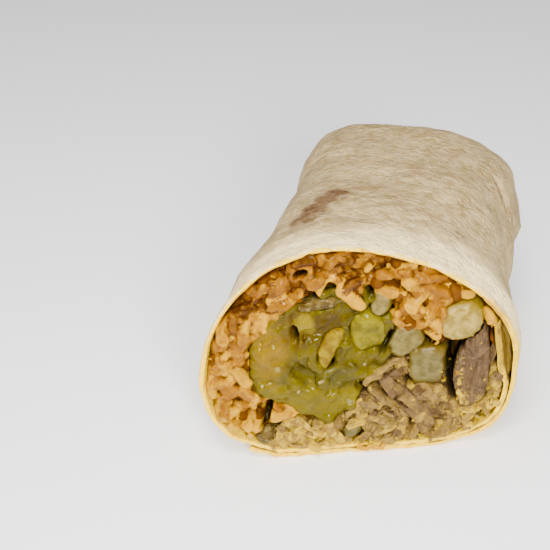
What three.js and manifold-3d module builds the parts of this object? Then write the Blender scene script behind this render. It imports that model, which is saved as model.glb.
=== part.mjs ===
// Half a burrito, cut on the slant and lying on its flat side. A flour tortilla is rolled one and a half
// times round rice, green salsa, fried potato, peppers, onion and pork, and tucked in at its far end.
// Millimetres, +Z up. The cut faces -Y, the folded end is at +Y, and the origin is under the middle.
import * as THREE from "three";
import { mergeVertices } from "three/addons/utils/BufferGeometryUtils.js";
import Module from "manifold-3d";

const wasm = await Module();
wasm.setup();

// The roll. Y runs back from the middle of the cut's lower edge.
const LENGTH = 92; // to the tip of the folded end
const FOLD_START = 73; // where the roll starts to round over
const CUT_SLANT = THREE.MathUtils.degToRad(20.5); // the right side is cut further back
const CUT_MIDDLE = [-1.66, -39.85]; // X and Y of the cut's lower edge, with the origin under the whole
const SHEET = 1.4; // one layer of tortilla
const END_WALL = 5; // the folded layers that close the far end
const GAP = 0.3; // clearance between neighbouring pieces
const PROUD = 2.5; // the most that a piece of filling stands out of the cut

// The roll's outline, seen from the cut, is four quarter superellipses round one centre. bends holds their
// exponents, from the top right quarter round to the bottom right one. Below the floor it is cut flat.
const CUT_BENDS = [1.8, 1.9, 2.4, 3.9];
const FOLD_BENDS = [2.5, 3.7, 2.8, 3];
const CUT_OUTLINE = { x: -6, z: 25, left: 28, right: 43.3, up: 32.5, down: 25.8, bends: CUT_BENDS };
const FOLD_OUTLINE = { x: 2, z: 25, left: 30, right: 29.6, up: 29, down: 25.8, bends: FOLD_BENDS };
const FLARE_END = 0.55; // share of the body's length over which the cut's outline turns into the other one

// Places round the outline are shares of its way round, from the right over the top to the left and back.
const FLAP_START = 0.06; // the sheet's inner edge, at the top right of the cut
const FLAP_END = 0.625; // the sheet's outer edge, at the bottom left
const EDGE_FADE = 0.06; // how far the sheet above the outer edge dips towards it
const POCKET = { at: 0.012, half: 0.032, width: 2.2, spread: 1.5, end: 24.2 }; // where the layers part
const POCKET_STEPS = [-1, -0.6, 0, 0.6, 1]; // places across the pocket, in halves of it
const CREASES = [0.02, 0.54]; // the tuck in the folded end, from its right ear to its left ear
const EARS = [0.1, 0.6]; // the corners that the tuck pushes out
const STEP_WIDTH = 0.004; // the steep side of an edge or a crease
const LIP = 1.8; // how far the tuck's upper lip overhangs its lower one
const LIP_FADE = 0.16;
const TUCK_START = 0.8; // share of the body's length at which the tuck begins to show
const TIP_FADE = [0.06, 0.3]; // the end's size over which the lips melt into its tip
const SWIRL = 0.07; // how far the tuck winds round on its way to the middle of the end
const EAR = 1.6; // how far it pushes them
const EAR_WIDTH = 0.035;
const EAR_START = 0.75;
const WAVE = 0.45; // the dents and swells of the sheet over the filling
const WAVES = [{ along: 9, around: 13, phase: 0 }, { along: 17, around: -25, phase: 2 }];
const WAVE_START = 0.15; // share of the body's length that stays calm behind the cut
const ROUND_END = 2.8; // superellipse exponent of the folded end, seen from above

const AROUND = 40;
const BODY_RINGS = 11;
const END_RINGS = 8;
const LINING = { bodyRings: 6, endRings: 5 };
const RING_CROWDING = 1.2; // rings lie closer together near the cut
const DENSE = 720; // points from which an outline is spaced out evenly
const NEARBY = 0.004; // a small step round the outline, to find which way it runs
const ON_FLOOR = 0.01;
const WELD = 1e-4; // points nearer than this are one point

// The filling, in the plane of the cut: s runs to the right from the middle and z up. Every piece runs back
// along the roll. These closed curves bound what lies together, and rice fills all the rest.
const SALSA_OVER = [[-22, 20], [-24, 33], [-13, 44], [-4, 46.5], [7.5, 41]];
const SALSA = [...SALSA_OVER, [8, 27], [1, 17], [-4, 10.5], [-14, 15]];
const PORK_OVER = [[-25, 3], [-17, 12.5], [-5, 9], [2, 20], [10, 28.5], [24, 22], [33, 26]];
const PORK = [...PORK_OVER, [38, 14], [30, -3], [0, -3]];
const CHUNK = [[29.6, 36], [25.3, 28.5], [23.8, 20], [26.5, 12.5], [32, 14], [32.8, 21], [32, 30]];
const CREVICE_RIGHT = [[21.4, 32.5], [25.8, 31.5], [24.3, 26], [24, 20], [25.4, 14]];
const CREVICE = [...CREVICE_RIGHT, [24, 13], [22.6, 19], [22.8, 27]];

// Pieces with a section of their own: its middle, its width and height, the superellipse exponent, its turn
// in degrees, how far it runs back and how far it stands out of the cut.
const PIECES = {
  potato_1: { at: [24.9, 36.4], size: [10, 9.8], bend: 2.6, turn: 8, back: 34, out: 1.2 },
  potato_2: { at: [17.4, 24.3], size: [9.2, 10.4], bend: 4.5, turn: -3, back: 42, out: 0.4 },
  potato_3: { at: [11.6, 31.8], size: [9.2, 8.4], bend: 2.8, turn: 20, back: 38, out: 0.2 },
  potato_4: { at: [5.8, 42.3], size: [4.6, 7], bend: 2.4, turn: -8, back: 26, out: 0.6 },
  potato_5: { at: [0.1, 6.9], size: [4.8, 4.4], bend: 2.6, turn: 10, back: 22, out: 0.2 },
  green_pepper: { at: [2.9, 35.2], size: [7.8, 10.6], bend: 2.5, turn: 12, back: 14, out: 0.9 },
  yellow_pepper: { at: [-6, 31.2], size: [4.2, 11.5], bend: 2.2, turn: -16, back: 12, out: 1.1 },
  onion_strip: { at: [-8.6, 43.2], size: [10, 3], bend: 2.6, turn: 7, back: 12, out: 0.7 },
  onion_bit: { at: [-20.4, 7], size: [4.8, 4.6], bend: 3, turn: 25, back: 10, out: 0.2 },
};
const PIECE_SIDES = 14;
const DOME = { share: 0.72, depth: 0.8 }; // a piece's face at the cut is smaller than its section behind it
const PIECE_TAPER = 0.82; // a piece's section at its far end, against that at the cut
const HOLES = [[2, 19.3, 2.2, 2.4], [-21.3, 14.8, 1.5, 6.5], [-17.5, 53.2, 5, 2]]; // s, z, width, height
const HOLE_DEPTH = 7;
const CREVICE_DEPTH = 14;
const CHUNK_BACK = 46;
const CURVE_POINTS = 28;

// Grains and shreds are scattered over a field of the cut, in rows, each a little out of line.
const GRAIN = { length: 6.2, thick: 3.2, spacing: 4.5, sunk: 0.1, seed: 3 };
const SHRED = { length: 9, thick: 3.2, spacing: 5.4, sunk: 0.4, seed: 5 };
const FIELD = { left: -38, right: 40, low: 2, high: 58, rows: 0.9, edge: 2.5, edgePoints: 60 };
const UNEVEN = { depth: 1.6, tilt: 1.4, shortest: 0.8, longest: 1.2 };
const GRAIN_RADIUS = 1.08; // of a faceted ball with the bulk of a round one

// An uneven face is the end of a block that reaches past the roll on all sides, with two waves in it.
const FACE_BLOCK = { width: 90, front: 30, height: 70, middle: 30 };
const FACE_WAVES = [{ x: 0.93, z: 0.4, phase: 1 }, { x: -0.51, z: 0.84, phase: 2 }];
const RICE_FACE = { recess: 1.2, rough: 0.8, seed: 1, cell: 8 };
const PORK_FACE = { recess: 1.1, rough: 1, seed: 4, cell: 8 };
const SALSA_FACE = { recess: -0.4, rough: 0.9, seed: 7, cell: 5 };
const CHUNK_FACE = { recess: -0.3, rough: 0.7, seed: 9, cell: 4 };

const smooth = THREE.MathUtils.smoothstep;
const lerp = THREE.MathUtils.lerp;
const wrap = (u) => u - Math.floor(u);
const apart = (u, v) => Math.abs(wrap(u - v + 0.5) - 0.5);
const cutY = (x) => x * Math.tan(CUT_SLANT);
const cutX = (s) => s * Math.cos(CUT_SLANT);

// A seeded draw between 0 and 1, so that every build gives the same burrito.
function seeded(seed) {
  let state = seed;
  return () => {
    state = (Math.imul(state, 1664525) + 1013904223) >>> 0;
    return state / 2 ** 32;
  };
}

// Solids

// A closed geometry as a solid that can be joined and cut.
function solidOf(geometry) {
  const bare = geometry.clone();
  bare.deleteAttribute("normal");
  bare.deleteAttribute("uv");
  const merged = mergeVertices(bare, WELD);
  const vertProperties = merged.attributes.position.array;
  const make = (triVerts) => new wasm.Manifold(new wasm.Mesh({ numProp: 3, vertProperties, triVerts }));
  const index = new Uint32Array(merged.index.array);
  const made = make(index);
  return made.volume() > 0 ? made : make(index.reverse());
}

// The largest connected part of a solid, which drops the scraps that a cut leaves.
function mainBody(solid) {
  return solid.decompose().reduce((best, body) => (body.volume() > best.volume() ? body : best));
}

function geometryOf(solid) {
  const { vertProperties, triVerts } = solid.getMesh();
  const geometry = new THREE.BufferGeometry();
  geometry.setAttribute("position", new THREE.BufferAttribute(vertProperties, 3));
  geometry.setIndex(new THREE.BufferAttribute(triVerts, 1));
  geometry.computeVertexNormals();
  return geometry;
}

// One closed surface through a run of rings. An end that is a single point closes it.
function throughRings(list) {
  const vertices = list.flat();
  const faces = [];
  const count = Math.max(...list.map((ring) => ring.length));
  let start = 0;
  for (let j = 0; j + 1 < list.length; j++) {
    const a = start;
    const b = start + list[j].length;
    start = b;
    for (let i = 0; i < count; i++) {
      const next = (i + 1) % count;
      const [open, full] = [list[j].length > 1, list[j + 1].length > 1];
      if (open) faces.push(a + i, full ? b + i : b, a + next);
      if (full) faces.push(open ? a + next : a, b + i, b + next);
    }
  }
  return closedSolid(vertices, faces);
}

function closedSolid(vertices, faces) {
  const geometry = new THREE.BufferGeometry();
  const numbers = vertices.flatMap((v) => v.toArray());
  geometry.setAttribute("position", new THREE.Float32BufferAttribute(numbers, 3));
  geometry.setIndex(faces);
  return solidOf(geometry);
}

// The roll's own surface

function superellipse(angle, power) {
  const c = Math.cos(angle);
  const s = Math.sin(angle);
  return [Math.sign(c) * Math.abs(c) ** (2 / power), Math.sign(s) * Math.abs(s) ** (2 / power)];
}

function rollPoint(shape, angle) {
  const [c, s] = superellipse(angle, shape.bends[Math.floor((angle / (2 * Math.PI)) * 4) % 4]);
  const x = shape.x + (c > 0 ? shape.right : shape.left) * c;
  const z = shape.z + (s > 0 ? shape.up : shape.down) * s;
  return [x, Math.max(0, z)];
}

// The outline at a share of the body's length, as a function of the share of the way round.
function outlineAt(along) {
  const k = smooth(along, 0, FLARE_END);
  const points = [];
  for (let i = 0; i < DENSE; i++) {
    const angle = (i / DENSE) * 2 * Math.PI;
    const [x0, z0] = rollPoint(CUT_OUTLINE, angle);
    const [x1, z1] = rollPoint(FOLD_OUTLINE, angle);
    points.push(new THREE.Vector2(lerp(x0, x1, k), lerp(z0, z1, k)));
  }
  const reach = [0];
  points.forEach((p, i) => reach.push(reach[i] + p.distanceTo(points[(i + 1) % DENSE])));
  return (u) => {
    const goal = wrap(u) * reach[DENSE];
    const i = reach.findIndex((r) => r > goal) - 1;
    return points[i].clone().lerp(points[(i + 1) % DENSE], (goal - reach[i]) / (reach[i + 1] - reach[i]));
  };
}

// A place on the outline, moved in by a distance.
function inside(outline, u, inset) {
  const ahead = outline(u + NEARBY).sub(outline(u - NEARBY)).normalize();
  return outline(u).add(new THREE.Vector2(-ahead.y, ahead.x).multiplyScalar(inset));
}

// How far the sheet has dipped to pass under its own outer edge.
function dip(u) {
  return SHEET * Math.max(0, 1 - wrap(FLAP_END - u) / EDGE_FADE);
}

// How far in the lining lies: two layers deep where the sheet overlaps itself, from the flap's start down
// the right and along the bottom, and deeper still where the two stand apart.
function wall(u) {
  const doubled = wrap(FLAP_START - u) < wrap(FLAP_START - FLAP_END);
  const off = apart(u, POCKET.at) / (POCKET.half * POCKET.spread);
  const pocket = POCKET.width * Math.max(0, 1 - off ** 2);
  return doubled ? 2 * SHEET + pocket : SHEET + dip(u);
}

// How far the sheet stands off the plain outline. size is 1 on the body and falls to 0 at the end's tip.
function relief(u, along, size) {
  let out = -dip(u) * size;
  CREASES.forEach((crease, i) => {
    const above = i === 0 ? wrap(u - crease) : wrap(crease - u);
    const lip = above < LIP_FADE ? 1 - above / LIP_FADE : 0;
    out += LIP * lip * smooth(along, TUCK_START, 1) * smooth(size, ...TIP_FADE);
  });
  for (const ear of EARS)
    out += EAR * Math.exp(-((apart(u, ear) / EAR_WIDTH) ** 2)) * smooth(along, EAR_START, 1) * size ** 2;
  for (const wave of WAVES) {
    const height = Math.sin(along * wave.along + u * wave.around + wave.phase);
    out += WAVE * height * smooth(along, 0, WAVE_START) * size;
  }
  return out;
}

// The rings of a skin that lies inset inside the outline, from the cut to a single point at the folded end.
function skinRings(places, { inset, end, bumpy, bodyRings, endRings, ahead = 0 }) {
  const made = [];
  const depth = LENGTH - end - FOLD_START;
  const pole = new THREE.Vector2(FOLD_OUTLINE.x, FOLD_OUTLINE.z);
  const skinPoint = (outline, u, along, size) => {
    const onFloor = outline(u).y < ON_FLOOR;
    const lift = bumpy && !onFloor ? relief(u, along, size) : 0;
    return { at: inside(outline, u, inset(u) - lift * size), lift };
  };
  for (let j = 0; j <= bodyRings; j++) {
    const along = (j / bodyRings) ** RING_CROWDING;
    const outline = outlineAt(along);
    made.push(
      places.map((u) => {
        const { at } = skinPoint(outline, u, along, 1);
        return new THREE.Vector3(at.x, lerp(cutY(at.x) - ahead, FOLD_START, along), Math.max(at.y, 0));
      }),
    );
  }
  const outline = outlineAt(1);
  for (let j = 1; j < endRings; j++) {
    const turn = (j / endRings) * (Math.PI / 2);
    const [size, back] = superellipse(turn, ROUND_END);
    made.push(
      places.map((u) => {
        const { at, lift } = skinPoint(outline, u + SWIRL * (1 - size), 1, size);
        const p = pole.clone().lerp(at, size);
        return new THREE.Vector3(p.x, FOLD_START + depth * back + lift * Math.sin(turn), Math.max(p.y, 0));
      }),
    );
  }
  made.push([new THREE.Vector3(pole.x, FOLD_START + depth, pole.y)]);
  return made;
}

const evenPlaces = (count) => Array.from({ length: count }, (_, i) => (i + 0.5) / count);

// The slot between the two layers on the right.
function pocketSolid() {
  const outline = outlineAt(0);
  const places = POCKET_STEPS.map((k) => POCKET.at + k * POCKET.half);
  const outer = places.map((u) => inside(outline, u, SHEET));
  const inner = places.slice(1, -1).map((u) => inside(outline, u, wall(u) - SHEET));
  return alongRoll([...outer, ...inner.reverse()], POCKET.end);
}

// Places all round, with two close together at each step.
function steppedPlaces() {
  const edges = [FLAP_START, FLAP_END, ...CREASES];
  const places = edges.flatMap((edge) => [edge - STEP_WIDTH / 2, edge + STEP_WIDTH / 2]);
  places.push(...evenPlaces(AROUND));
  return places.sort((a, b) => a - b);
}

// The tortilla's inner skin, and the same one again a gap further in.
function liningRings(gap, ahead) {
  const inset = (u) => wall(u) + gap;
  return skinRings(steppedPlaces(), { inset, end: END_WALL + gap, ahead, ...LINING });
}

function tortillaSolid() {
  const outer = { inset: () => 0, end: 0, bumpy: true, bodyRings: BODY_RINGS, endRings: END_RINGS };
  const skin = skinRings(steppedPlaces(), outer);
  return throughRings([...skin.reverse(), ...liningRings(0, 0)]).subtract(pocketSolid());
}

// The whole room inside the tortilla, and on past the cut for what stands out of it.
function roomSolid() {
  const rings = liningRings(GAP, PROUD);
  return throughRings([[middleOf(rings[0])], ...rings]);
}

function middleOf(points) {
  return points.reduce((sum, p) => sum.add(p), new THREE.Vector3()).divideScalar(points.length);
}

// The filling

// A bar along the roll, with an outline in X and Z, that ends at a given Y.
function alongRoll(points, end, start = -LENGTH / 2) {
  const shape = new THREE.Shape(points);
  const bar = new THREE.ExtrudeGeometry(shape, { depth: end - start, bevelEnabled: false, steps: 1 });
  bar.rotateX(Math.PI / 2);
  bar.translate(0, end, 0);
  return solidOf(bar);
}

// A smooth closed curve through points in the plane of the cut, grown outwards by a distance.
function curvePoints(points, grow = 0) {
  const curve = new THREE.CatmullRomCurve3(points.map(([s, z]) => new THREE.Vector3(cutX(s), z, 0)), true);
  const spaced = curve.getSpacedPoints(CURVE_POINTS).slice(0, -1);
  const side = THREE.ShapeUtils.isClockWise(spaced) ? -1 : 1;
  const at = (i) => spaced[(i + CURVE_POINTS) % CURVE_POINTS];
  return spaced.map((p, i) => {
    const ahead = at(i + 1).clone().sub(at(i - 1)).normalize();
    return new THREE.Vector2(p.x + side * grow * ahead.y, p.y - side * grow * ahead.x);
  });
}

// A block that covers all in front of the cut, down to an uneven face that lies recess behind its plane.
function faceCutter({ recess, rough, seed, cell }) {
  const { width, front, height, middle } = FACE_BLOCK;
  const across = Math.round(width / cell);
  const block = new THREE.BoxGeometry(width, front, height, across, 1, Math.round(height / cell));
  block.translate(0, -front / 2, middle);
  const place = block.attributes.position;
  for (let i = 0; i < place.count; i++) {
    const [x, y, z] = [place.getX(i), place.getY(i), place.getZ(i)];
    const heights = FACE_WAVES.map((wave) => Math.sin(x * wave.x + z * wave.z + seed * wave.phase));
    const face = y > -front / 2 ? recess + (rough * (heights[0] + heights[1])) / 2 : y;
    place.setY(i, face + cutY(x));
  }
  return solidOf(block);
}

// A piece's section in X and Z, grown by a distance.
function pieceSection({ at, size, bend, turn }, grow, scale = 1) {
  const points = [];
  const tilt = THREE.MathUtils.degToRad(turn);
  for (let i = 0; i < PIECE_SIDES; i++) {
    const [c, s] = superellipse(((i + 0.5) / PIECE_SIDES) * 2 * Math.PI, bend);
    const p = new THREE.Vector2((size[0] / 2 + grow) * scale * c, (size[1] / 2 + grow) * scale * s);
    p.rotateAround(new THREE.Vector2(), tilt);
    points.push(new THREE.Vector2(cutX(at[0] + p.x), at[1] + p.y));
  }
  return points;
}

// A piece as a tapering bar with a domed face at the cut, grown by a distance on all sides.
function pieceSolid(piece, grow = 0) {
  const ring = (scale, depth) =>
    pieceSection(piece, grow, scale).map((p) => new THREE.Vector3(p.x, cutY(p.x) + depth, p.y));
  const front = [ring(DOME.share, -piece.out - grow), ring(1, DOME.depth - piece.out)];
  const back = [ring(1, piece.back / 2), ring(PIECE_TAPER, piece.back + grow)];
  return throughRings([[middleOf(front[0])], ...front, ...back, [middleOf(back[1])]]);
}

// A faceted grain, turned at random and partly sunk, at a place on the cut.
function grainSolid({ length, thick, sunk }, [s, z], draw) {
  const depth = sunk + (draw() - 0.5) * UNEVEN.depth;
  const turns = [(draw() - 0.5) * UNEVEN.tilt, draw() * Math.PI, (draw() - 0.5) * UNEVEN.tilt];
  const stretch = lerp(UNEVEN.shortest, UNEVEN.longest, draw());
  const grain = new THREE.IcosahedronGeometry(GRAIN_RADIUS, 0);
  grain.scale((length / 2) * stretch, thick / 2, thick / 2);
  grain.rotateX(turns[0]).rotateY(turns[1]).rotateZ(turns[2]);
  grain.translate(cutX(s), cutY(cutX(s)) + depth, z);
  return solidOf(grain);
}

// Grains scattered over the cut where a test allows them.
function scattered(grain, allowed) {
  const draw = seeded(grain.seed);
  const made = [];
  for (let z = FIELD.low; z < FIELD.high; z += grain.spacing * FIELD.rows) {
    for (let s = FIELD.left; s < FIELD.right; s += grain.spacing) {
      const at = [s + (draw() - 0.5) * grain.spacing, z + (draw() - 0.5) * grain.spacing];
      const solid = grainSolid(grain, at, draw);
      if (allowed(...at)) made.push(solid);
    }
  }
  return wasm.Manifold.union(made);
}

// Whether a place on the cut lies within an outline in X and Z.
function within(points, s, z) {
  let odd = false;
  points.forEach((p, i) => {
    const q = points[(i + 1) % points.length];
    if (p.y > z !== q.y > z && cutX(s) < p.x + ((z - p.y) / (q.y - p.y)) * (q.x - p.x)) odd = !odd;
  });
  return odd;
}

const zone = (points, grow) => alongRoll(curvePoints(points, grow), LENGTH);
const chunkBar = (grow) => alongRoll(curvePoints(CHUNK, grow), CHUNK_BACK + grow);

// The small holes and the deep crevice that stay open at the cut.
function openings() {
  const bars = HOLES.map(([s, z, width, height]) => {
    const section = pieceSection({ at: [s, z], size: [width, height], bend: 2, turn: 0 }, 0);
    return alongRoll(section, cutY(cutX(s)) + HOLE_DEPTH);
  });
  return wasm.Manifold.union([...bars, alongRoll(curvePoints(CREVICE), CREVICE_DEPTH)]);
}

// A test for places on the cut that are inside the roll, outside the salsa and clear of every piece.
function freePlaces() {
  const cut = outlineAt(0);
  const roll = evenPlaces(FIELD.edgePoints).map((u) => inside(cut, u, FIELD.edge));
  const salsa = curvePoints(SALSA);
  const pieces = Object.values(PIECES).map((piece) => pieceSection(piece, 0));
  return (s, z) => within(roll, s, z) && !within(salsa, s, z) && !pieces.some((area) => within(area, s, z));
}

// The pieces with a section of their own, each cut clear of those before it, and the space they all take.
function pieceSolids(room) {
  const solids = {};
  let taken = wasm.Manifold.union([]);
  for (const [name, piece] of Object.entries(PIECES)) {
    solids[name] = pieceSolid(piece).intersect(room).subtract(taken);
    taken = taken.add(pieceSolid(piece, GAP));
  }
  return { solids, taken };
}

function fillingSolids() {
  const room = roomSolid();
  const { solids, taken } = pieceSolids(room);
  solids.pork_chunk = chunkBar(0).intersect(room).subtract(faceCutter(CHUNK_FACE)).subtract(taken);
  const kept = taken.add(chunkBar(GAP)).add(openings());
  solids.green_salsa = room.intersect(zone(SALSA)).subtract(faceCutter(SALSA_FACE)).subtract(kept);
  const free = freePlaces();
  const porkArea = curvePoints(PORK);
  const shreds = scattered(SHRED, (s, z) => within(porkArea, s, z) && free(s, z));
  const porkRoom = room.intersect(zone(PORK)).subtract(zone(SALSA, GAP)).subtract(kept);
  solids.pulled_pork = room.subtract(faceCutter(PORK_FACE)).add(shreds).intersect(porkRoom);
  const grains = scattered(GRAIN, (s, z) => !within(porkArea, s, z) && free(s, z));
  const riceRoom = room.subtract(zone(SALSA, GAP)).subtract(zone(PORK, GAP)).subtract(kept);
  solids.rice = room.subtract(faceCutter(RICE_FACE)).add(grains).intersect(riceRoom);
  return solids;
}

// The burrito

const FINISH = {
  tortilla: ["#dccfae", 0.75],
  rice: ["#d9963f", 0.55],
  green_salsa: ["#9a9430", 0.3],
  pulled_pork: ["#a9875a", 0.7],
  pork_chunk: ["#8b6b52", 0.7],
  potato: ["#d8cf96", 0.5],
  green_pepper: ["#a5a634", 0.3],
  yellow_pepper: ["#c59a3c", 0.35],
  onion: ["#a79a72", 0.4],
};

const burrito = new THREE.Group();
const solids = { tortilla: tortillaSolid(), ...fillingSolids() };
for (const [name, solid] of Object.entries(solids)) {
  const [color, roughness] = FINISH[name] ?? FINISH[name.split("_")[0]];
  const finish = new THREE.MeshStandardMaterial({ color, roughness });
  const mesh = new THREE.Mesh(geometryOf(mainBody(solid)), finish);
  mesh.name = name;
  burrito.add(mesh);
}
burrito.position.set(...CUT_MIDDLE, 0);

export default burrito;
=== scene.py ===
# %% [markdown]
# # Half a burrito in Blender
# This lesson dresses the plain solids of half a burrito until they look good enough to eat. The solids
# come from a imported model, which gives every piece its place and size. Nothing in it is moved: each soft
# solid is replaced by a finer piece made here, in the same place.

# %% Load the solids
import math

import bpy
import numpy as np
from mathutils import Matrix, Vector
from mathutils.bvhtree import BVHTree
from mathutils.kdtree import KDTree


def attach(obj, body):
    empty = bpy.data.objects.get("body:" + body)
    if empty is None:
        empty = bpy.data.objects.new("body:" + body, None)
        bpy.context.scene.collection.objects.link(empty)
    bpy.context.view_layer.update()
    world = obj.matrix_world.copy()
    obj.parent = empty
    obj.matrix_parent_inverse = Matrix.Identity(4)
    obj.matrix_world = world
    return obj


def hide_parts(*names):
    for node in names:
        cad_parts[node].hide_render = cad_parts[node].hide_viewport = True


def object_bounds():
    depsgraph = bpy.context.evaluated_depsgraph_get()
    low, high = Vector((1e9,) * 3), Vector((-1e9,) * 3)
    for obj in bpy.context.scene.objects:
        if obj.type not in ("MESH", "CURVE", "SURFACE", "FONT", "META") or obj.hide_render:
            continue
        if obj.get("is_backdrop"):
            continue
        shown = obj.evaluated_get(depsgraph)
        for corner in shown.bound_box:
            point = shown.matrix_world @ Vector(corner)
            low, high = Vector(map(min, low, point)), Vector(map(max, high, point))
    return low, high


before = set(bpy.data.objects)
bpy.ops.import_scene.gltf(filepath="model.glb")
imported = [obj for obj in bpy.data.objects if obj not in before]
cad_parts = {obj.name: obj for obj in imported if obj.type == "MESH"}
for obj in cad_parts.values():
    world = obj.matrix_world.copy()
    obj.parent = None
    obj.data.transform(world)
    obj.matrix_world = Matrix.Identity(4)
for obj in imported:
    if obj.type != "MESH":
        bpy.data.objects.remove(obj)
solid_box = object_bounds()
MM = 0.001
print("solids:", ", ".join(sorted(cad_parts)))

# %% [markdown]
# ## Camera
# The whole lesson measures in millimetres from the middle of the cut's lower edge: x to the right, y back
# along the roll and z up. The camera looks down at the cut from a little to the right, as a cook leaning
# over the board would. A narrow field of view keeps the far end from shrinking too much.

# %% Place the camera
CUT_MIDDLE = np.array([-1.66, -39.85, 0.0])
CUT_SLANT = math.radians(20.5)
VIEW_AZIMUTH = math.radians(14)
VIEW_ELEVATION = math.radians(30)
VIEW_FIELD = math.radians(26)
VIEW_PLACE = np.array([38.0, -228.3, 183.5])


def in_row(points):
    """Points measured from the cut, in mm, as metres from the model's origin."""
    return (np.asarray(points, float) + CUT_MIDDLE) * MM


camera = bpy.data.objects.new("Camera", bpy.data.cameras.new("Camera"))
camera.data.angle = VIEW_FIELD
camera.data.clip_start = 0.01
camera.location = in_row(VIEW_PLACE)
ahead = Vector(
    (
        -math.sin(VIEW_AZIMUTH) * math.cos(VIEW_ELEVATION),
        math.cos(VIEW_AZIMUTH) * math.cos(VIEW_ELEVATION),
        -math.sin(VIEW_ELEVATION),
    )
)
camera.rotation_mode = "QUATERNION"
camera.rotation_quaternion = ahead.to_track_quat("-Z", "Y")
bpy.context.scene.collection.objects.link(camera)
bpy.context.scene.camera = camera
print("camera at", tuple(round(c, 3) for c in camera.location))

# %% [markdown]
# ## Floor and light
# Food photographs use big soft lights, so that wet surfaces get broad highlights and nothing has a hard
# shadow. A bright surrounding world lights everything a little. The key lamp stands in front on the right,
# so that it shines into the cut. A small one nearer by brightens the upper part of the cut, one overhead
# lights the back of the roll, and a wide weak one opens the shadows.


# %% Lay the floor and hang the lamps
def lamp(name, place, target, size, power):
    """A round soft lamp that faces a target. Places are in mm from the cut, size in metres."""
    data = bpy.data.lights.new(name, "AREA")
    data.shape = "DISK"
    data.size = size
    data.energy = power
    made = bpy.data.objects.new(name, data)
    made.location = in_row(place)
    facing = Vector(np.subtract(target, place))
    made.rotation_mode = "QUATERNION"
    made.rotation_quaternion = facing.to_track_quat("-Z", "Y")
    bpy.context.scene.collection.objects.link(made)


ROLL_MIDDLE = (0, 20, 25)
CUT_TOP = (0, 0, 40)
LAMPS = {
    "lamp_above": ((-100, -20, 480), ROLL_MIDDLE, 0.30, 1.1),
    "lamp_key": ((190, -430, 270), ROLL_MIDDLE, 0.14, 5.4),
    "lamp_near": ((10, -150, 260), CUT_TOP, 0.12, 1.25),
    "lamp_fill": ((-330, -300, 150), ROLL_MIDDLE, 0.5, 1.2),
}
WORLD_STRENGTH = 0.32
for name, (place, target, size, power) in LAMPS.items():
    lamp(name, place, target, size, power)
world = bpy.data.worlds.new("studio")
world.use_nodes = True
background = world.node_tree.nodes["Background"].inputs
background["Color"].default_value = (1, 1, 1, 1)
background["Strength"].default_value = WORLD_STRENGTH
bpy.context.scene.world = world

FLOOR_HALF = 1.5
floor_mesh = bpy.data.meshes.new("floor")
floor_corners = [(-FLOOR_HALF, -FLOOR_HALF, 0), (FLOOR_HALF, -FLOOR_HALF, 0)]
floor_corners += [(FLOOR_HALF, FLOOR_HALF, 0), (-FLOOR_HALF, FLOOR_HALF, 0)]
floor_mesh.from_pydata(floor_corners, [], [(0, 1, 2, 3)])
floor = bpy.data.objects.new("floor", floor_mesh)
bpy.context.scene.collection.objects.link(floor)
floor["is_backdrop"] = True
print("lamps:", len(LAMPS), "and the floor")

# %% [markdown]
# ## Shader maths
# A finish is a small sum: this much toasting here, that much gloss there. Blender's nodes can do sums, but
# dozens of boxes hide the thought. The class below wraps one output socket, so that `1 - mask * 0.5` in
# Python makes the Math nodes by itself. Colours go through Mix nodes, since a Math node would turn them
# grey.


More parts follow.
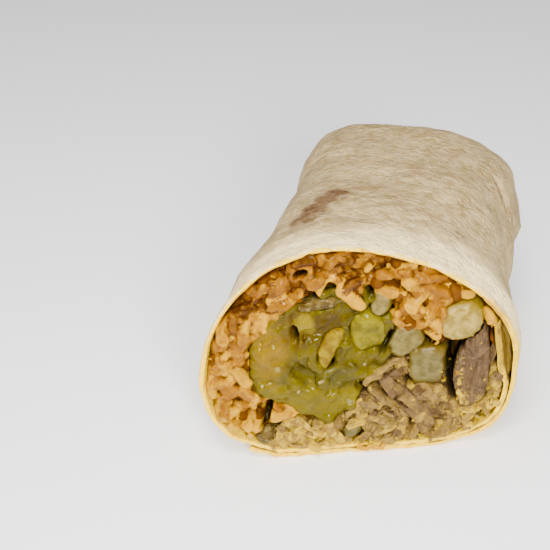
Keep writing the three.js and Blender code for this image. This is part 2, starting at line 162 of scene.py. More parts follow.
# %% Wrap a socket
class Wire:
    """One output socket of a finish, with arithmetic."""

    def __init__(self, tree, socket):
        self.tree = tree
        self.socket = socket

    def node(self, kind, settings=None, inputs=None, out=0):
        """Adds a node: its settings first, then the values or links of its sockets, by name or number."""
        made = self.tree.nodes.new(kind)
        for name, value in (settings or {}).items():
            setattr(made, name, value)
        for name, value in (inputs or {}).items():
            if isinstance(value, Wire):
                self.tree.links.new(value.socket, made.inputs[name])
            else:
                made.inputs[name].default_value = value
        return Wire(self.tree, made.outputs[out])

    def maths(self, operation, *values):
        return self.node("ShaderNodeMath", {"operation": operation}, dict(enumerate(values)))

    def vector(self, operation, inputs, out=0):
        return self.node("ShaderNodeVectorMath", {"operation": operation}, inputs, out)

    def __add__(self, other):
        return self.maths("ADD", self, other)

    def __sub__(self, other):
        return self.maths("SUBTRACT", self, other)

    def __rsub__(self, other):
        return self.maths("SUBTRACT", other, self)

    def __mul__(self, other):
        return self.maths("MULTIPLY", self, other)

    __radd__ = __add__
    __rmul__ = __mul__

    def ramp(self, low, high):
        """0 below low, 1 above high and a smooth rise between. High may be less than low."""
        settings = {"interpolation_type": "SMOOTHSTEP"}
        inputs = {"Value": self, "From Min": min(low, high), "From Max": max(low, high)}
        rise = self.node("ShaderNodeMapRange", settings, inputs)
        return rise if low < high else 1 - rise

    def colours(self, first, second):
        """The first colour where this is 0, the second where it is 1."""
        whole = [c if isinstance(c, Wire) else (*c, 1) for c in (first, second)]
        inputs = {"Factor": self, 6: whole[0], 7: whole[1]}
        return self.node("ShaderNodeMix", {"data_type": "RGBA"}, inputs, out=2)

    def stretched(self, x, y, z):
        """A place, with each direction scaled. A larger number makes a pattern finer that way."""
        return self.vector("MULTIPLY", {0: self, 1: (x, y, z)})

    def noise(self, size, detail=3.0, roughness=0.55):
        """Cloudy patches about size across, from 0 to 1."""
        inputs = {"Vector": self, "Scale": 1 / size, "Detail": detail, "Roughness": roughness}
        return self.node("ShaderNodeTexNoise", None, inputs)

    def veins(self, size, width):
        """Thin winding lines, 1 in their middle, about size apart."""
        off = self.noise(size, detail=2) - 0.5
        return off.maths("ABSOLUTE", off).ramp(width, 0)

    def cells(self, size):
        """How far it is to the nearest of many scattered points, in sizes."""
        return self.node("ShaderNodeTexVoronoi", None, {"Vector": self, "Scale": 1 / size})

    def attribute(self, name):
        """A number stored on the mesh's points."""
        return self.node("ShaderNodeAttribute", {"attribute_name": name}, None, out=2)


def finish(name, colour, rough, height=None, depth=0.1, base=None):
    """A finish from functions of the place in mm: colour, roughness, and relief that is depth mm deep."""
    made = bpy.data.materials.new(name)
    made.use_nodes = True
    tree = made.node_tree
    tree.nodes.clear()
    start = Wire(tree, None)
    metres = start.node("ShaderNodeTexCoord", out=3)
    place = metres.stretched(1 / MM, 1 / MM, 1 / MM)
    inputs = dict(base or {})
    inputs["Base Color"] = colour(place)
    inputs["Roughness"] = rough(place)
    if height:
        bump = {"Height": height(place), "Distance": depth * MM, "Strength": 1.0}
        inputs["Normal"] = start.node("ShaderNodeBump", None, bump)
    shader = start.node("ShaderNodeBsdfPrincipled", None, inputs)
    output = tree.nodes.new("ShaderNodeOutputMaterial")
    tree.links.new(shader.socket, output.inputs["Surface"])
    return made


def patchy(size, swing, least):
    """A roughness that drifts in patches of size mm, between least and least plus swing."""
    return lambda place: place.noise(size) * swing + least


def grainy(size, detail=3.0, roughness=0.55):
    """Relief in patches of size mm."""
    return lambda place: place.noise(size, detail, roughness)


def flesh(weight, radius, scale):
    """Light that soaks in and comes out again: how much of it, how far red, green and blue go, and mm."""
    return {"Subsurface Weight": weight, "Subsurface Radius": radius, "Subsurface Scale": scale * MM}


SHINE_BEND = 1.25


def sheen_of(level, tint, coat=0.0, coat_rough=0.1):
    """The shine of moist food: a weak reflection in the food's own colour, under a clear wet coat."""
    shine = {"IOR": SHINE_BEND, "Specular IOR Level": level, "Specular Tint": (*tint, 1)}
    return shine | {"Coat Weight": coat, "Coat Roughness": coat_rough}


# %% Finish the floor
floor_finish = finish(
    "floor",
    colour=lambda place: place.noise(40, detail=2).colours((0.92, 0.92, 0.92), (0.95, 0.95, 0.95)),
    rough=patchy(25, 0.1, 0.6),
    base={"Emission Color": (1, 1, 1, 1), "Emission Strength": 0.35},
)
floor.data.materials.append(floor_finish)
print("floor finish:", len(floor_finish.node_tree.nodes), "nodes")

# %% [markdown]
# ## Random hills
# Food is never smooth. Most of its unevenness here is real shape, not paint, so it needs smooth random
# numbers at points in space. A grid of random values, blended between its corners, does that. The same
# seed always gives the same hills, so the burrito comes out alike each time.


# %% Make random hills
def hash_numbers(cells, seed):
    """A random number between 0 and 1 for each whole-numbered cell."""
    big = cells.astype(np.uint32)
    mixed = big[..., 0] * np.uint32(73856093) ^ big[..., 1] * np.uint32(19349663)
    mixed ^= big[..., 2] * np.uint32(83492791) ^ np.uint32(seed * 2654435761 % 2**32)
    for shift in (16, 13):
        mixed ^= mixed >> np.uint32(shift)
        mixed *= np.uint32(2246822519)
    return (mixed ^ (mixed >> np.uint32(15))) / 2**32


def hills(points, size, seed=0):
    """Smooth random heights from -1 to 1, with hills about size across. Size may differ by axis."""
    scaled = np.asarray(points, float) / size
    cell = np.floor(scaled).astype(np.int64)
    part = scaled - cell
    blend = part * part * (3 - 2 * part)
    total = np.zeros(scaled.shape[:-1])
    for corner in np.ndindex(2, 2, 2):
        weight = np.prod(np.where(corner, blend, 1 - blend), axis=-1)
        total += weight * hash_numbers(cell + np.array(corner), seed)
    return 2 * total - 1


def pebbles(points, size, seed=0):
    """Rounded lumps packed side by side: 1 at a lump's middle, falling to 0 between lumps."""
    scaled = np.asarray(points, float) / size
    cell = np.floor(scaled).astype(np.int64)
    nearest = np.full(scaled.shape[:-1], 9.0)
    for step in np.ndindex(3, 3, 3):
        near = cell + np.array(step) - 1
        jitter = [hash_numbers(near, seed + k) for k in range(3)]
        away = near + np.stack(jitter, axis=-1) - scaled
        nearest = np.minimum(nearest, np.linalg.norm(away, axis=-1))
    return np.clip(1 - nearest**2, 0, 1)


def smooth(x, low, high):
    """0 below low, 1 above high and a smooth rise between."""
    t = np.clip((x - low) / (high - low), 0, 1)
    return t * t * (3 - 2 * t)


print("hills at three places:", hills([(0, 0, 0), (3, 1, 4), (8, 2, 6)], 5).round(2))

# %% [markdown]
# ## The rolled tortilla
# One soft disc of dough is wrapped one and a half times round the filling. Seen from the cut it is a
# spiral: it starts as a flap at the top right, passes under itself at the bottom left and ends there on
# the outside. So the sheet is modelled as it is, one strip with two faces and real edges, and not as a
# tube. The outline is the one the solids use: four quarter superellipses at the cut, easing into four
# others at the folded end.

# %% Sizes of the roll
LENGTH = 92
FOLD_START = 73
SHEET = 1.4
END_WALL = 5
CUT_OUTLINE = dict(x=-6, z=25, left=28, right=43.3, up=32.5, down=25.8, bends=(1.8, 1.9, 2.4, 3.9))
FOLD_OUTLINE = dict(x=2, z=25, left=30, right=29.6, up=29, down=25.8, bends=(2.5, 3.7, 2.8, 3))
FLARE_END = 0.55
FLAP_START = 0.06
FLAP_END = 0.625
EDGE_FADE = 0.06
POCKET = dict(at=0.012, half=0.032, width=2.2)
CREASES = ((0.02, 1), (0.54, -1))
EARS = (0.1, 0.6)
LIP = 1.8
LIP_FADE = 0.16
SWIRL = 0.07
EAR = 1.6
EAR_WIDTH = 0.035
WAVE = 0.45
ROUND_END = 2.8
TIP_SIZE = 0.004
END_SKIN = 16
EDGE_ROUND = 0.3
DEEPEST_GROOVE = 0.55
UNDER_DROP = 1.5
GIRTH = 195
print("the sheet goes round", 1 + FLAP_START + 1 - FLAP_END, "times")


# %% Trace the outline
def superellipse(angle, power):
    c, s = np.cos(angle), np.sin(angle)
    return np.sign(c) * np.abs(c) ** (2 / power), np.sign(s) * np.abs(s) ** (2 / power)


def roll_points(shape, angle):
    bends = np.array(shape["bends"])[(angle / (math.pi / 2)).astype(int) % 4]
    c, s = superellipse(angle, bends)
    x = shape["x"] + np.where(c > 0, shape["right"], shape["left"]) * c
    z = shape["z"] + np.where(s > 0, shape["up"], shape["down"]) * s
    return np.stack([x, np.maximum(z, 0)], axis=-1)


def outline(along, places, inset):
    """x and z at places round the roll, moved in by inset, at a share of the body's length."""
    angle = np.linspace(0, 2 * math.pi, 1441)[:-1]
    blend = smooth(along, 0, FLARE_END)
    dense = roll_points(CUT_OUTLINE, angle) * (1 - blend) + roll_points(FOLD_OUTLINE, angle) * blend
    dense = np.vstack([dense, dense[:1]])
    reach = np.concatenate([[0], np.cumsum(np.linalg.norm(np.diff(dense, axis=0), axis=1))])

    def at(u):
        goal = np.mod(u, 1) * reach[-1]
        return np.stack([np.interp(goal, reach, dense[:, k]) for k in (0, 1)], axis=-1)

    step = at(places + 0.004) - at(places - 0.004)
    step /= np.linalg.norm(step, axis=-1, keepdims=True)
    inward = np.stack([-step[:, 1], step[:, 0]], axis=-1)
    plain = at(places)
    return plain + inward * np.asarray(inset)[..., None], plain[:, 1] < 0.01


# %% [markdown]
# The sheet's skin has relief at three sizes: swells where the filling pushes out, ripples a few
# millimetres long across the roll, where the dough was stretched and let go, and the folds of the tucked
# end. The end is closed by a tuck that runs from ear to ear, with an upper lip lying over a lower one.


# %% Shape the skin
def tuck(u, along, size):
    """The lips, ears and pleats of the folded end, in mm. size falls from 1 on the body to 0 at the tip."""
    lift = np.zeros_like(u)
    for crease, way in CREASES:
        above = np.mod(way * (u - crease), 1)
        below = np.mod(way * (crease - u), 1)
        lip = np.clip(1 - above / LIP_FADE, 0, 1)
        groove = np.exp(-((below / 0.014) ** 2)) + 0.5 * np.exp(-(((above - 0.05) / 0.012) ** 2))
        lift += (LIP * lip - 0.7 * groove) * smooth(along, 0.8, 1) * smooth(size, 0.06, 0.3)
    for ear in EARS:
        away = np.abs(np.mod(u - ear + 0.5, 1) - 0.5)
        lift += EAR * np.exp(-((away / EAR_WIDTH) ** 2)) * smooth(along, 0.75, 1) * size**2
    return lift


WRINKLES = (
    ((24.6, 64.5, 48.5), (29.8, 58.5, 40.0), 0.9, -1.1),
    ((26.8, 65.0, 47.0), (31.8, 58.5, 38.0), 1.5, 0.35),
    ((20.0, 40, 50.0), (24.5, 52, 47.5), 1.0, -0.5),
    ((-16, 58, 52.5), (-2, 56, 54.5), 0.8, -0.45),
    ((9, 42, 54.0), (17, 45, 51.5), 0.7, -0.4),
    ((-8, 18, 55.5), (5, 15, 57.0), 0.8, -0.3),
    ((22, 20, 48.0), (30, 27, 41.0), 0.9, -0.4),
)


def away_from_line(points, start, end):
    """How far points lie from the line between two others."""
    line = np.subtract(end, start)
    share = np.clip((points - start) @ line / line.dot(line), 0, 1)
    return np.linalg.norm(points - start - share[:, None] * line, axis=1)


def wrinkled(points):
    """Single creases and ridges: each runs from one point to another, some mm wide and high."""
    lift = np.zeros(len(points))
    for start, end, half, height in WRINKLES:
        lift += height * np.exp(-((away_from_line(points, start, end) / half) ** 2))
    return lift


def on_skin(v, y):
    """Places on the sheet as if it lay flat, in mm, so that both of its layers get hills of their own."""
    return np.stack([v * GIRTH, y, np.zeros_like(v)], axis=-1)


def swells(u, v, along, size, y):
    """The sheet's waves and ripples, in mm."""
    waves = np.sin(along * 9 + u * 13) + np.sin(along * 17 - u * 25 + 2)
    big = WAVE * waves * smooth(along, 0, 0.15) * size
    skin = on_skin(v, y)
    broad = 0.45 * hills(skin, np.array([15, 9, 1]), 11) * smooth(along, 0, 0.08)
    ripple = 0.2 * hills(skin, np.array([3.6, 2.8, 1]), 12) + 0.11 * hills(skin, np.array([1.7, 1.4, 1]), 13)
    pleats = 0.5 * hills(skin, np.array([7, 60, 1]), 14) * (1 - size) * smooth(size, 0.05, 0.4)
    return big + broad + ripple * (0.45 + 0.55 * smooth(along, 0, 0.05)) + pleats


def sheet_depth(v, y):
    """How far in from the outline the sheet's outer face lies, along its one and a half turns."""
    dip = SHEET * np.clip(1 - (1 + FLAP_END - v) / EDGE_FADE, 0, 1)
    stand_off = POCKET["width"] * np.clip(1 - ((v - 2 - POCKET["at"]) / (POCKET["half"] * 1.5)) ** 2, 0, 1)
    return dip + stand_off * np.exp(-((y / 7) ** 2))


def sheet_thickness(v, y):
    """Thinnest over the top, where the dough was stretched, and thickest at the flap's tip."""
    over_top = np.exp(-(((v - 1.25) / 0.16) ** 2))
    tip = smooth(v, 1.93, 2.0) * np.exp(-((y / 12) ** 2))
    skin = on_skin(v, y)
    doubled = smooth(v, FLAP_END, FLAP_END + 0.03) * (1 - smooth(v, 0.93, 0.98))
    return 1.2 - 0.3 * over_top + 0.25 * tip + 0.2 * doubled + 0.12 * hills(skin, np.array([4, 5, 1]), 15)


# %% [markdown]
# The strip is made ring by ring, from the cut to the tip. The outer face has every ring. The lining inside
# has only some of them, closely spaced near the cut, where it shows. The rings are joined by faces along
# the outside, the inside, the cut and the sheet's two long edges.

# %% Build the sheet
PLACES_A_TURN = 330
RIM_RINGS = 5
BODY_RINGS = 118
END_RINGS = 56
DENSE_RINGS = 24
LINING_STEPS = (2, 8)


def cut_y(x):
    return x * math.tan(CUT_SLANT)


def sheet_ring(v, along, turn, is_lining):
    """One ring of the strip. turn is 0 on the body and runs to a quarter turn over the folded end."""
    size, back = superellipse(np.array([turn]), ROUND_END)
    size, back = max(size[0], TIP_SIZE), back[0]
    u = v + SWIRL * (1 - size)
    y_plain = np.full_like(v, FOLD_START * along + turn * END_SKIN)
    depth = sheet_depth(v, y_plain)
    shown = 1 - smooth(v, 1.55, 1.6)
    if is_lining:
        inset = depth + sheet_thickness(v, y_plain)
        lift = np.zeros_like(v)
    else:
        lift = (tuck(np.mod(u, 1), along, size) + swells(np.mod(u, 1), v, along, size, y_plain)) * shown
        rounded = EDGE_ROUND * np.exp(-along * FOLD_START / 0.35)
        inset = depth + rounded
    flat, on_floor = outline(along, u, inset)
    if not is_lining and not turn:
        y = cut_y(flat[:, 0]) * (1 - along) + y_plain
        lift = lift + wrinkled(np.stack([flat[:, 0], y, flat[:, 1]], axis=-1)) * shown
    lift = np.where(lift < 0, DEEPEST_GROOVE * np.tanh(lift / DEEPEST_GROOVE), lift)
    lift = np.where(on_floor, 0, lift)
    flat, on_floor = outline(along, u, inset - lift * size)
    girth = on_skin(v, v * 0)
    ragged = 0.45 * hills(girth, 6.0, 20) + 0.25 * hills(girth, 1.8, 21)
    y = cut_y(flat[:, 0]) * (1 - along) + FOLD_START * along + ragged * (1 - smooth(along, 0, 0.04))
    if turn:
        pole = np.array([FOLD_OUTLINE["x"], FOLD_OUTLINE["z"]])
        flat = pole + (flat - pole) * size
        under = 0 if is_lining else UNDER_DROP * smooth(v, 1.6, 1.66)
        y = FOLD_START + (LENGTH - FOLD_START - END_WALL * is_lining) * back
        y = y + (lift - under) * math.sin(turn)
    return np.stack([flat[:, 0], y + np.zeros_like(v), np.maximum(flat[:, 1], 0)], axis=-1)


def strip_faces(rows, columns, start=0, flip=False):
    """Quads between rows of points."""
    j, i = np.meshgrid(np.arange(rows - 1), np.arange(columns - 1), indexing="ij")
    a = (start + j * columns + i).ravel()
    quads = np.stack([a, a + 1, a + columns + 1, a + columns], axis=1)
    return quads[:, ::-1].tolist() if flip else quads.tolist()


def ring_stations():
    """Where the rings lie, as a share of the body and a turn, and the numbers of those with a lining."""
    body = np.concatenate([np.linspace(0, 0.02, RIM_RINGS), np.linspace(0.026, 1, BODY_RINGS)])
    stations = [(along, 0.0) for along in body]
    stations += [(1.0, turn) for turn in np.linspace(0, math.pi / 2, END_RINGS)[1:]]
    last = len(stations) - 1
    lining_at = [*range(0, DENSE_RINGS, LINING_STEPS[0]), *range(DENSE_RINGS, last, LINING_STEPS[1]), last]
    return stations, lining_at


def build_sheet():
    """The strip's points and faces, and for each point how far it lies between the layers, soaked and
    shaded.
    """
    v = np.arange(FLAP_END, 2 + FLAP_START, 1 / PLACES_A_TURN)
    stations, lining_at = ring_stations()
    outer = [sheet_ring(v, *station, False) for station in stations]
    lining = [sheet_ring(v, *stations[k], True) for k in lining_at]
    count = len(v)
    first = len(outer) * count
    faces = strip_faces(len(outer), count, flip=True) + strip_faces(len(lining), count, start=first)
    last_outer, last_lining = (len(outer) - 1) * count, first + (len(lining) - 1) * count
    for i in range(count - 1):
        faces.append([i, i + 1, first + i + 1, first + i])
        faces.append([last_outer + i + 1, last_outer + i, last_lining + i, last_lining + i + 1])
    for k in range(len(lining_at) - 1):
        rows = range(lining_at[k], lining_at[k + 1] + 1)
        for column, flip in ((0, False), (count - 1, True)):
            edge = [row * count + column for row in rows]
            edge += [first + (k + 1) * count + column, first + k * count + column]
            faces.append(edge[::-1] if flip else edge)
    # This share marks where sauce soaks in and where the layers shade each other: it drives a real stain and
    # painted shade.
    outside = smooth(v, 1 + FLAP_END, 1.03 + FLAP_END)
    inside = np.where(v < 1.1, 1.0, 0.5)
    soaked = np.concatenate([outside] * len(outer) + [inside] * len(lining))
    return np.vstack(outer + lining), faces, soaked


# %% [markdown]
# ## Adding a piece
# Every piece goes through one function. It turns millimetres into metres, shades the piece smoothly, gives
# it its finish, lets it ride on the burrito's only body, and hides the solid it stands for. Numbers that
# vary from grain to grain are stored on the points, where a finish can read them.


# %% Add a piece
def add_piece(name, points, faces, material, slot, stands_for=(), numbers=None, crisp=50):
    mesh = bpy.data.meshes.new(name)
    mesh.from_pydata(in_row(points).tolist(), [], faces)
    mesh.polygons.foreach_set("use_smooth", np.ones(len(mesh.polygons), bool))
    for key, values in (numbers or {}).items():
        mesh.attributes.new(key, "FLOAT", "POINT").data.foreach_set("value", np.asarray(values, np.float32))
    mesh.set_sharp_from_angle(angle=math.radians(crisp))
    mesh.materials.append(material)
    made = bpy.data.objects.new(name, mesh)
    bpy.context.scene.collection.objects.link(made)
    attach(made, "root")
    if stands_for:
        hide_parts(*stands_for)
    print(f"{name}: {len(mesh.vertices)} points, {len(mesh.polygons)} faces")
    return made


# %% [markdown]
# ## The tortilla's finish
# A flour tortilla is matt and cream, with faint pink-brown clouds where it touched the griddle and one
# darker toasted streak. A band near the cut is painted paler, as painted light, since the lamps light the
# front most, and a groove at the far right is darkened as painted shade. The cut edge itself is stained
# yellow by the sauce. Fine grain and pores are relief in the finish, since they are smaller than the mesh.

# %% Finish the tortilla
CREAM = (0.41, 0.29, 0.112)
OLIVE = (0.29, 0.21, 0.069)
FLOURY = (0.52, 0.39, 0.21)
# The next colour is painted light, for the paler band near the cut.
NEAR_CUT_LIGHT = (1.0, 0.75, 0.37)
CLOUDED = (0.25, 0.135, 0.058)
TOASTED = (0.080, 0.029, 0.011)
# The next colour is painted shade, for the groove of the crease at the far right.
CREASE_SHADE = (0.10, 0.052, 0.022)
PINKISH = (0.52, 0.33, 0.19)
STAINED = (0.98, 0.60, 0.006)
BROWNED = (0.48, 0.19, 0.008)
# The next colour is sauce stain and painted shade, for the sheet between its layers behind the cut.
SOAKED_SHADE = (0.13, 0.072, 0.008)
FLAP_YELLOW = (0.36, 0.21, 0.001)
OILED = (0.42, 0.17, 0.002)
TOAST_FROM = (-16.4, 18, 53.4)
TOAST_TO = (-11.2, 30.5, 54.6)
CREASE_FROM = (24.8, 64.2, 48.2)
CREASE_TO = (29.7, 58.8, 40.4)


def offset_from(place, point):
    """The way from a point, given in mm from the cut, to a place."""
    return place.vector("SUBTRACT", {0: place, 1: tuple(np.add(point, CUT_MIDDLE))})


def distance_from_cut(place):
    """mm back from the plane of the cut."""
    facing = (-math.sin(CUT_SLANT), math.cos(CUT_SLANT), 0)
    return place.vector("DOT_PRODUCT", {0: offset_from(place, (0, 0, 0)), 1: facing}, out=1)


def length_of(way):
    return way.vector("LENGTH", {0: way}, out=1)


def near_spot(place, middle, half):
    """1 in an ellipsoid round a spot, falling to 0 at its ragged edge."""
    away = length_of(offset_from(place, middle).stretched(*(1 / h for h in half)))
    return (away + (place.noise(3.5) - 0.5) * 1.3).ramp(1.15, 0.45)


def near_line(place, start, end, half):
    """1 along a line between two points, falling to 0 at a ragged edge half mm away."""
    line = np.subtract(end, start)
    way = offset_from(place, start)
    share = way.vector("DOT_PRODUCT", {0: way, 1: tuple(line / line.dot(line))}, out=1)
    along = share.node("ShaderNodeClamp", None, {"Value": share})
    nearest = along.vector("SCALE", {0: tuple(line), "Scale": along})
    rest = way.vector("SUBTRACT", {0: way, 1: nearest})
    return (length_of(rest) * (1 / half) + (place.noise(3.0, detail=4) - 0.5) * 1.6).ramp(1.2, 0.3)


def height_of(place):
    """mm above the floor."""
    return place.node("ShaderNodeSeparateXYZ", None, {0: place}, out=2)


def tortilla_dough(place):
    """Dough, then flour and griddle clouds at several sizes."""
    dough = place.noise(7, detail=5, roughness=0.65).ramp(0.42, 0.58).colours(CREAM, OLIVE)
    dusted = (place.noise(2.4, detail=6, roughness=0.75).ramp(0.40, 0.62) * 0.85).colours(dough, FLOURY)
    clouds = place.stretched(0.6, 1.0, 0.7).noise(4, detail=6, roughness=0.7).ramp(0.52, 0.72)
    clouded = (clouds * 0.5).colours(dusted, CLOUDED)
    broad = place.stretched(0.7, 1.2, 0.8).noise(9, detail=5, roughness=0.6).ramp(0.5, 0.62) * 0.3
    clouded = broad.colours(clouded, CLOUDED)
    fine = place.noise(0.8, detail=4, roughness=0.7).ramp(0.5, 0.72) * 0.45
    return (fine + place.veins(3.2, 0.035) * 0.18).colours(clouded, CLOUDED)


def tortilla_marks(place, dough):
    """The paler band near the cut as painted light, the specks, the toasted streak, and the crease at the
    far right as painted shade.
    """
    back = distance_from_cut(place) + (place.noise(6) - 0.5) * 10
    # Painted light: a paler band near the cut, where the light falls strongest.
    lit_band = (back.ramp(17, 5) * 0.97).colours(dough, NEAR_CUT_LIGHT)
    specks = place.noise(2.0, detail=3).ramp(0.60, 0.70) * back.ramp(13, 4) * 0.55
    pinkish = (place.noise(3.0, detail=5, roughness=0.7).ramp(0.5, 0.64) * 0.35).colours(lit_band, PINKISH)
    specked = specks.colours(pinkish, BROWNED)
    streak = near_line(place, TOAST_FROM, TOAST_TO, 4.3) * (place.noise(1.3, detail=4) * 0.8 + 0.5)
    toasted = (streak * 0.9).colours(specked, TOASTED)
    spot = near_spot(place, (22.8, 61.3, 48.7), (2.2, 1.6, 1.8)) * 0.5
    # Painted shade: the crease at the far right is darkened along its groove.
    crease_shaded = (near_line(place, CREASE_FROM, CREASE_TO, 0.6) * 0.75).colours(toasted, CREASE_SHADE)
    return spot.colours(crease_shaded, CLOUDED)


def tortilla_colour(place):
    """The dough and its marks, then the sauce's stain, wider low down, and a dark brown between the layers:
    sauce soaked in, with painted shade.
    """
    marked = tortilla_marks(place, tortilla_dough(place))
    low = height_of(place).ramp(44, 14)
    soaked = place.attribute("soaked")
    cut = distance_from_cut(place) + (place.noise(2.6, detail=4) - 0.5) * 3.2
    stain = (cut - low * 1.6 - soaked.ramp(0.2, 0.4) * 9).ramp(1.1, -0.4)
    stained = stain.colours(marked, STAINED)
    browned = cut.ramp(1.0, -1.0) * place.noise(2.4, detail=2).ramp(0.5, 0.62) * 0.55
    edged = browned.colours(stained, BROWNED)
    high = height_of(place).ramp(24, 40) * soaked.ramp(0.2, 0.4) * place.noise(4).ramp(0.3, 0.55)
    oiled = (high * cut.ramp(9, 2) * 0.7).colours(edged, OILED)
    corner = near_spot(place, (31.6, 12, 36.5), (3.5, 4, 6)) * cut.ramp(2.2, 0.8) * 0.55
    cornered = corner.colours(oiled, OILED)
    flap = near_spot(place, (31.6, 12, 26), (3.4, 8, 15)) * soaked.ramp(0.2, 0.4)
    flapped = (flap * 0.9).colours(cornered, FLAP_YELLOW)
    # Between the layers, over a mm behind the cut, the sheet turns dark brown: sauce soaked in, and painted
    # shade.
    return (soaked.ramp(0.6, 0.9) * cut.ramp(-0.4, 0.8) * 0.95).colours(flapped, SOAKED_SHADE)


def tortilla_relief(place):
    wrinkles = place.stretched(0.85, 1.1, 0.85).noise(1.5, detail=5, roughness=0.62)
    folds = place.noise(4.5, detail=3) * 1.4 - place.veins(3.2, 0.05) * 0.15
    grain = place.noise(0.5, detail=3, roughness=0.7) * 0.22
    pores = place.cells(1.9).ramp(0.0, 0.3) * 0.12
    return wrinkles + folds + grain + pores


tortilla_finish = finish(
    "tortilla",
    colour=tortilla_colour,
    rough=patchy(4, 0.2, 0.62),
    height=tortilla_relief,
    depth=0.8,
    base=flesh(0.15, (1.0, 0.7, 0.4), 0.8) | sheen_of(0.75, (1.0, 0.88, 0.62)),
)
sheet_points, sheet_faces, soaked = build_sheet()
dough = (tortilla_finish, "tortilla", ["tortilla"])
add_piece("tortilla_sheet", sheet_points, sheet_faces, *dough, {"soaked": soaked})

# %% [markdown]
# ## What shows at the cut
# The solids already say where rice ends and pork begins. A ray sent back along the roll from any place on
# the cut finds the solid that shows there, and how far behind the cut it lies. Grains and shreds are then
# laid only where their own solid is found.

# %% Probe the solids
HOLE_DEPTH = 3.5
RAY_START = -12
RAY_REACH = 0.03
FILLING = [name for name in sorted(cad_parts) if name != "tortilla"]


def surface_of(pieces):
    """A search over pieces, to find what shows, and the number of the piece that owns each face."""
    points, faces, owner = [], [], []
    for number, piece in enumerate(pieces):
        start = len(points)
        points += [v.co.copy() for v in piece.data.vertices]
        faces += [[start + k for k in face.vertices] for face in piece.data.polygons]
        owner += [number] * len(piece.data.polygons)
    return BVHTree.FromPolygons(points, faces), owner


def at_cut(s, z, depth=0.0):
    """A place on the cut's plane, s to the right and z up, or depth behind it along the roll."""
    x = np.asarray(s) * math.cos(CUT_SLANT)
    return np.stack([x, cut_y(x) + depth, np.asarray(z) + 0 * x], axis=-1)


def first_hit(tree, s, z):
    """The face that a ray along the roll meets first at a place on the cut, and its depth in mm."""
    start = Vector(in_row(at_cut(s, z, RAY_START)))
    hit, _, face, distance = tree.ray_cast(start, Vector((0, 1, 0)), RAY_REACH)
    return (None, 0) if hit is None else (face, distance / MM + RAY_START)


probe_tree, probe_owner = surface_of([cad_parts[name] for name in FILLING])


def behind_cut(points):
    """mm along the roll from the cut back to each point."""
    return points[:, 1] - cut_y(points[:, 0])


def depth_share(points):
    """0 for points 1 mm in front of the cut, rising to 1 at 4 mm behind it."""
    return np.clip((behind_cut(points) + 1) / 5, 0, 1)


def at_front(behind):
    """1 near the cut, falling to 0 some mm behind it."""
    return 1 - smooth(behind, 2, 6)


def shows_at(s, z):
    """The solid that shows at a place on the cut, and its depth in mm."""
    face, depth = first_hit(probe_tree, s, z)
    return (None, 0) if face is None else (FILLING[probe_owner[face]], depth)


def places_on(node, spacing, seed, jitter=0.8, edge=0.9):
    """Places on the cut where a node shows without a hole, on a jittered grid, as rows of s and z."""
    draw = np.random.default_rng(seed)
    found = []
    for row, z in enumerate(np.arange(1, 60, spacing * 0.87)):
        for s in np.arange(-40, 42, spacing) + (row % 2) * spacing / 2:
            s_at, z_at = np.array([s, z]) + (draw.random(2) - 0.5) * spacing * jitter
            around = [(0, 0), (edge, 0), (-edge, 0), (0, edge), (0, -edge)]
            seen = [shows_at(s_at + ds, z_at + dz) for ds, dz in around]
            same = sum(name == node for name, _ in seen)
            if seen[0][0] == node and same >= 4 and max(depth for _, depth in seen) < HOLE_DEPTH:
                found.append((s_at, z_at))
    return np.array(found)


def fitting_angle(node, s, z, length, draw, lean=None):
    """An angle at which both ends of a grain stay on its node, and the share of its length that fits."""
    for share in (1.0, 0.8, 0.6, 0.45):
        for _ in range(7):
            angle = draw.uniform(0, math.pi) if lean is None else draw.normal(lean, 0.6)
            reach = (length * share / 2 - 0.3) * np.array([math.cos(angle), math.sin(angle)])
            ends = [shows_at(s + way * reach[0], z + way * reach[1]) for way in (-1, 1)]
            if all(name == node and depth < HOLE_DEPTH for name, depth in ends):
                return angle, share
    return draw.uniform(0, math.pi), 0.35


print("seen at the middle of the cut:", shows_at(0, 28))

# %% [markdown]
# ## Slits
# Where pieces lean on each other, thin black slits are left between them. Each is a line on the cut.
# Whatever lies on that line is pushed back, and its finish is painted black there, as shade.

# %% Find the slits
SLITS = (
    ((22.6, 29.6), (25.2, 29.2), 1.3),
    ((23.2, 29.5), (22.5, 25), 1.1),
    ((22.5, 25), (23.1, 19.5), 0.9),
    ((23.1, 19.5), (24.6, 14.6), 1.0),
    ((8.7, 34.6), (6.9, 30.4), 0.8),
    ((1.4, 20.1), (2.3, 18.9), 1.0),
    ((-19.6, 17.2), (-20.9, 11.0), 1.0),
    ((2.6, 46.2), (3.5, 44.0), 0.9),
    ((-10.8, 46.6), (-9.4, 45.6), 1.0),
    ((-13.4, 51.3), (-12.0, 51.7), 0.75),
    ((7.7, 23.0), (9.8, 25.2), 0.4),
    ((12.3, 22.2), (13.4, 20.2), 1.0),
    ((5.4, 20.0), (7.7, 18.0), 0.7),
    ((7.7, 18.0), (12.8, 14.0), 0.55),
    ((14.4, 9.5), (14.8, 6.6), 0.45),
    ((-14.2, 37.3), (-13.6, 34.6), 0.9),
    ((-12.8, 12.4), (-9.0, 11.2), 0.6),
)
SLIT_DEPTH = 3.2


def slit_share(points):
    """1 in the middle of a slit in the cut, falling to 0 at its sides."""
    place = np.stack([points[:, 0] / math.cos(CUT_SLANT), points[:, 2]], axis=-1)
    share = np.zeros(len(points))
    for start, end, half in SLITS:
        away = away_from_line(place, start, end)
        share = np.maximum(share, 1 - smooth(away, 0.45 * half, 1.15 * half))
    return share


print("slits:", len(SLITS))

# %% [markdown]
# ## Softened solids
# The solids have flat facets, as the model is kept light. A voxel remesh wraps a fine even skin
# round a copy of one, with other bits melted into it where there are any. A smooth modifier melts the
# facets, and then each piece is carved by its own function of place. The solid itself is not touched: only
# the copy is.


# %% Soften a solid
PIT = (3.0, 7.0)
SLIT_PIT = (0.5, 2.5)


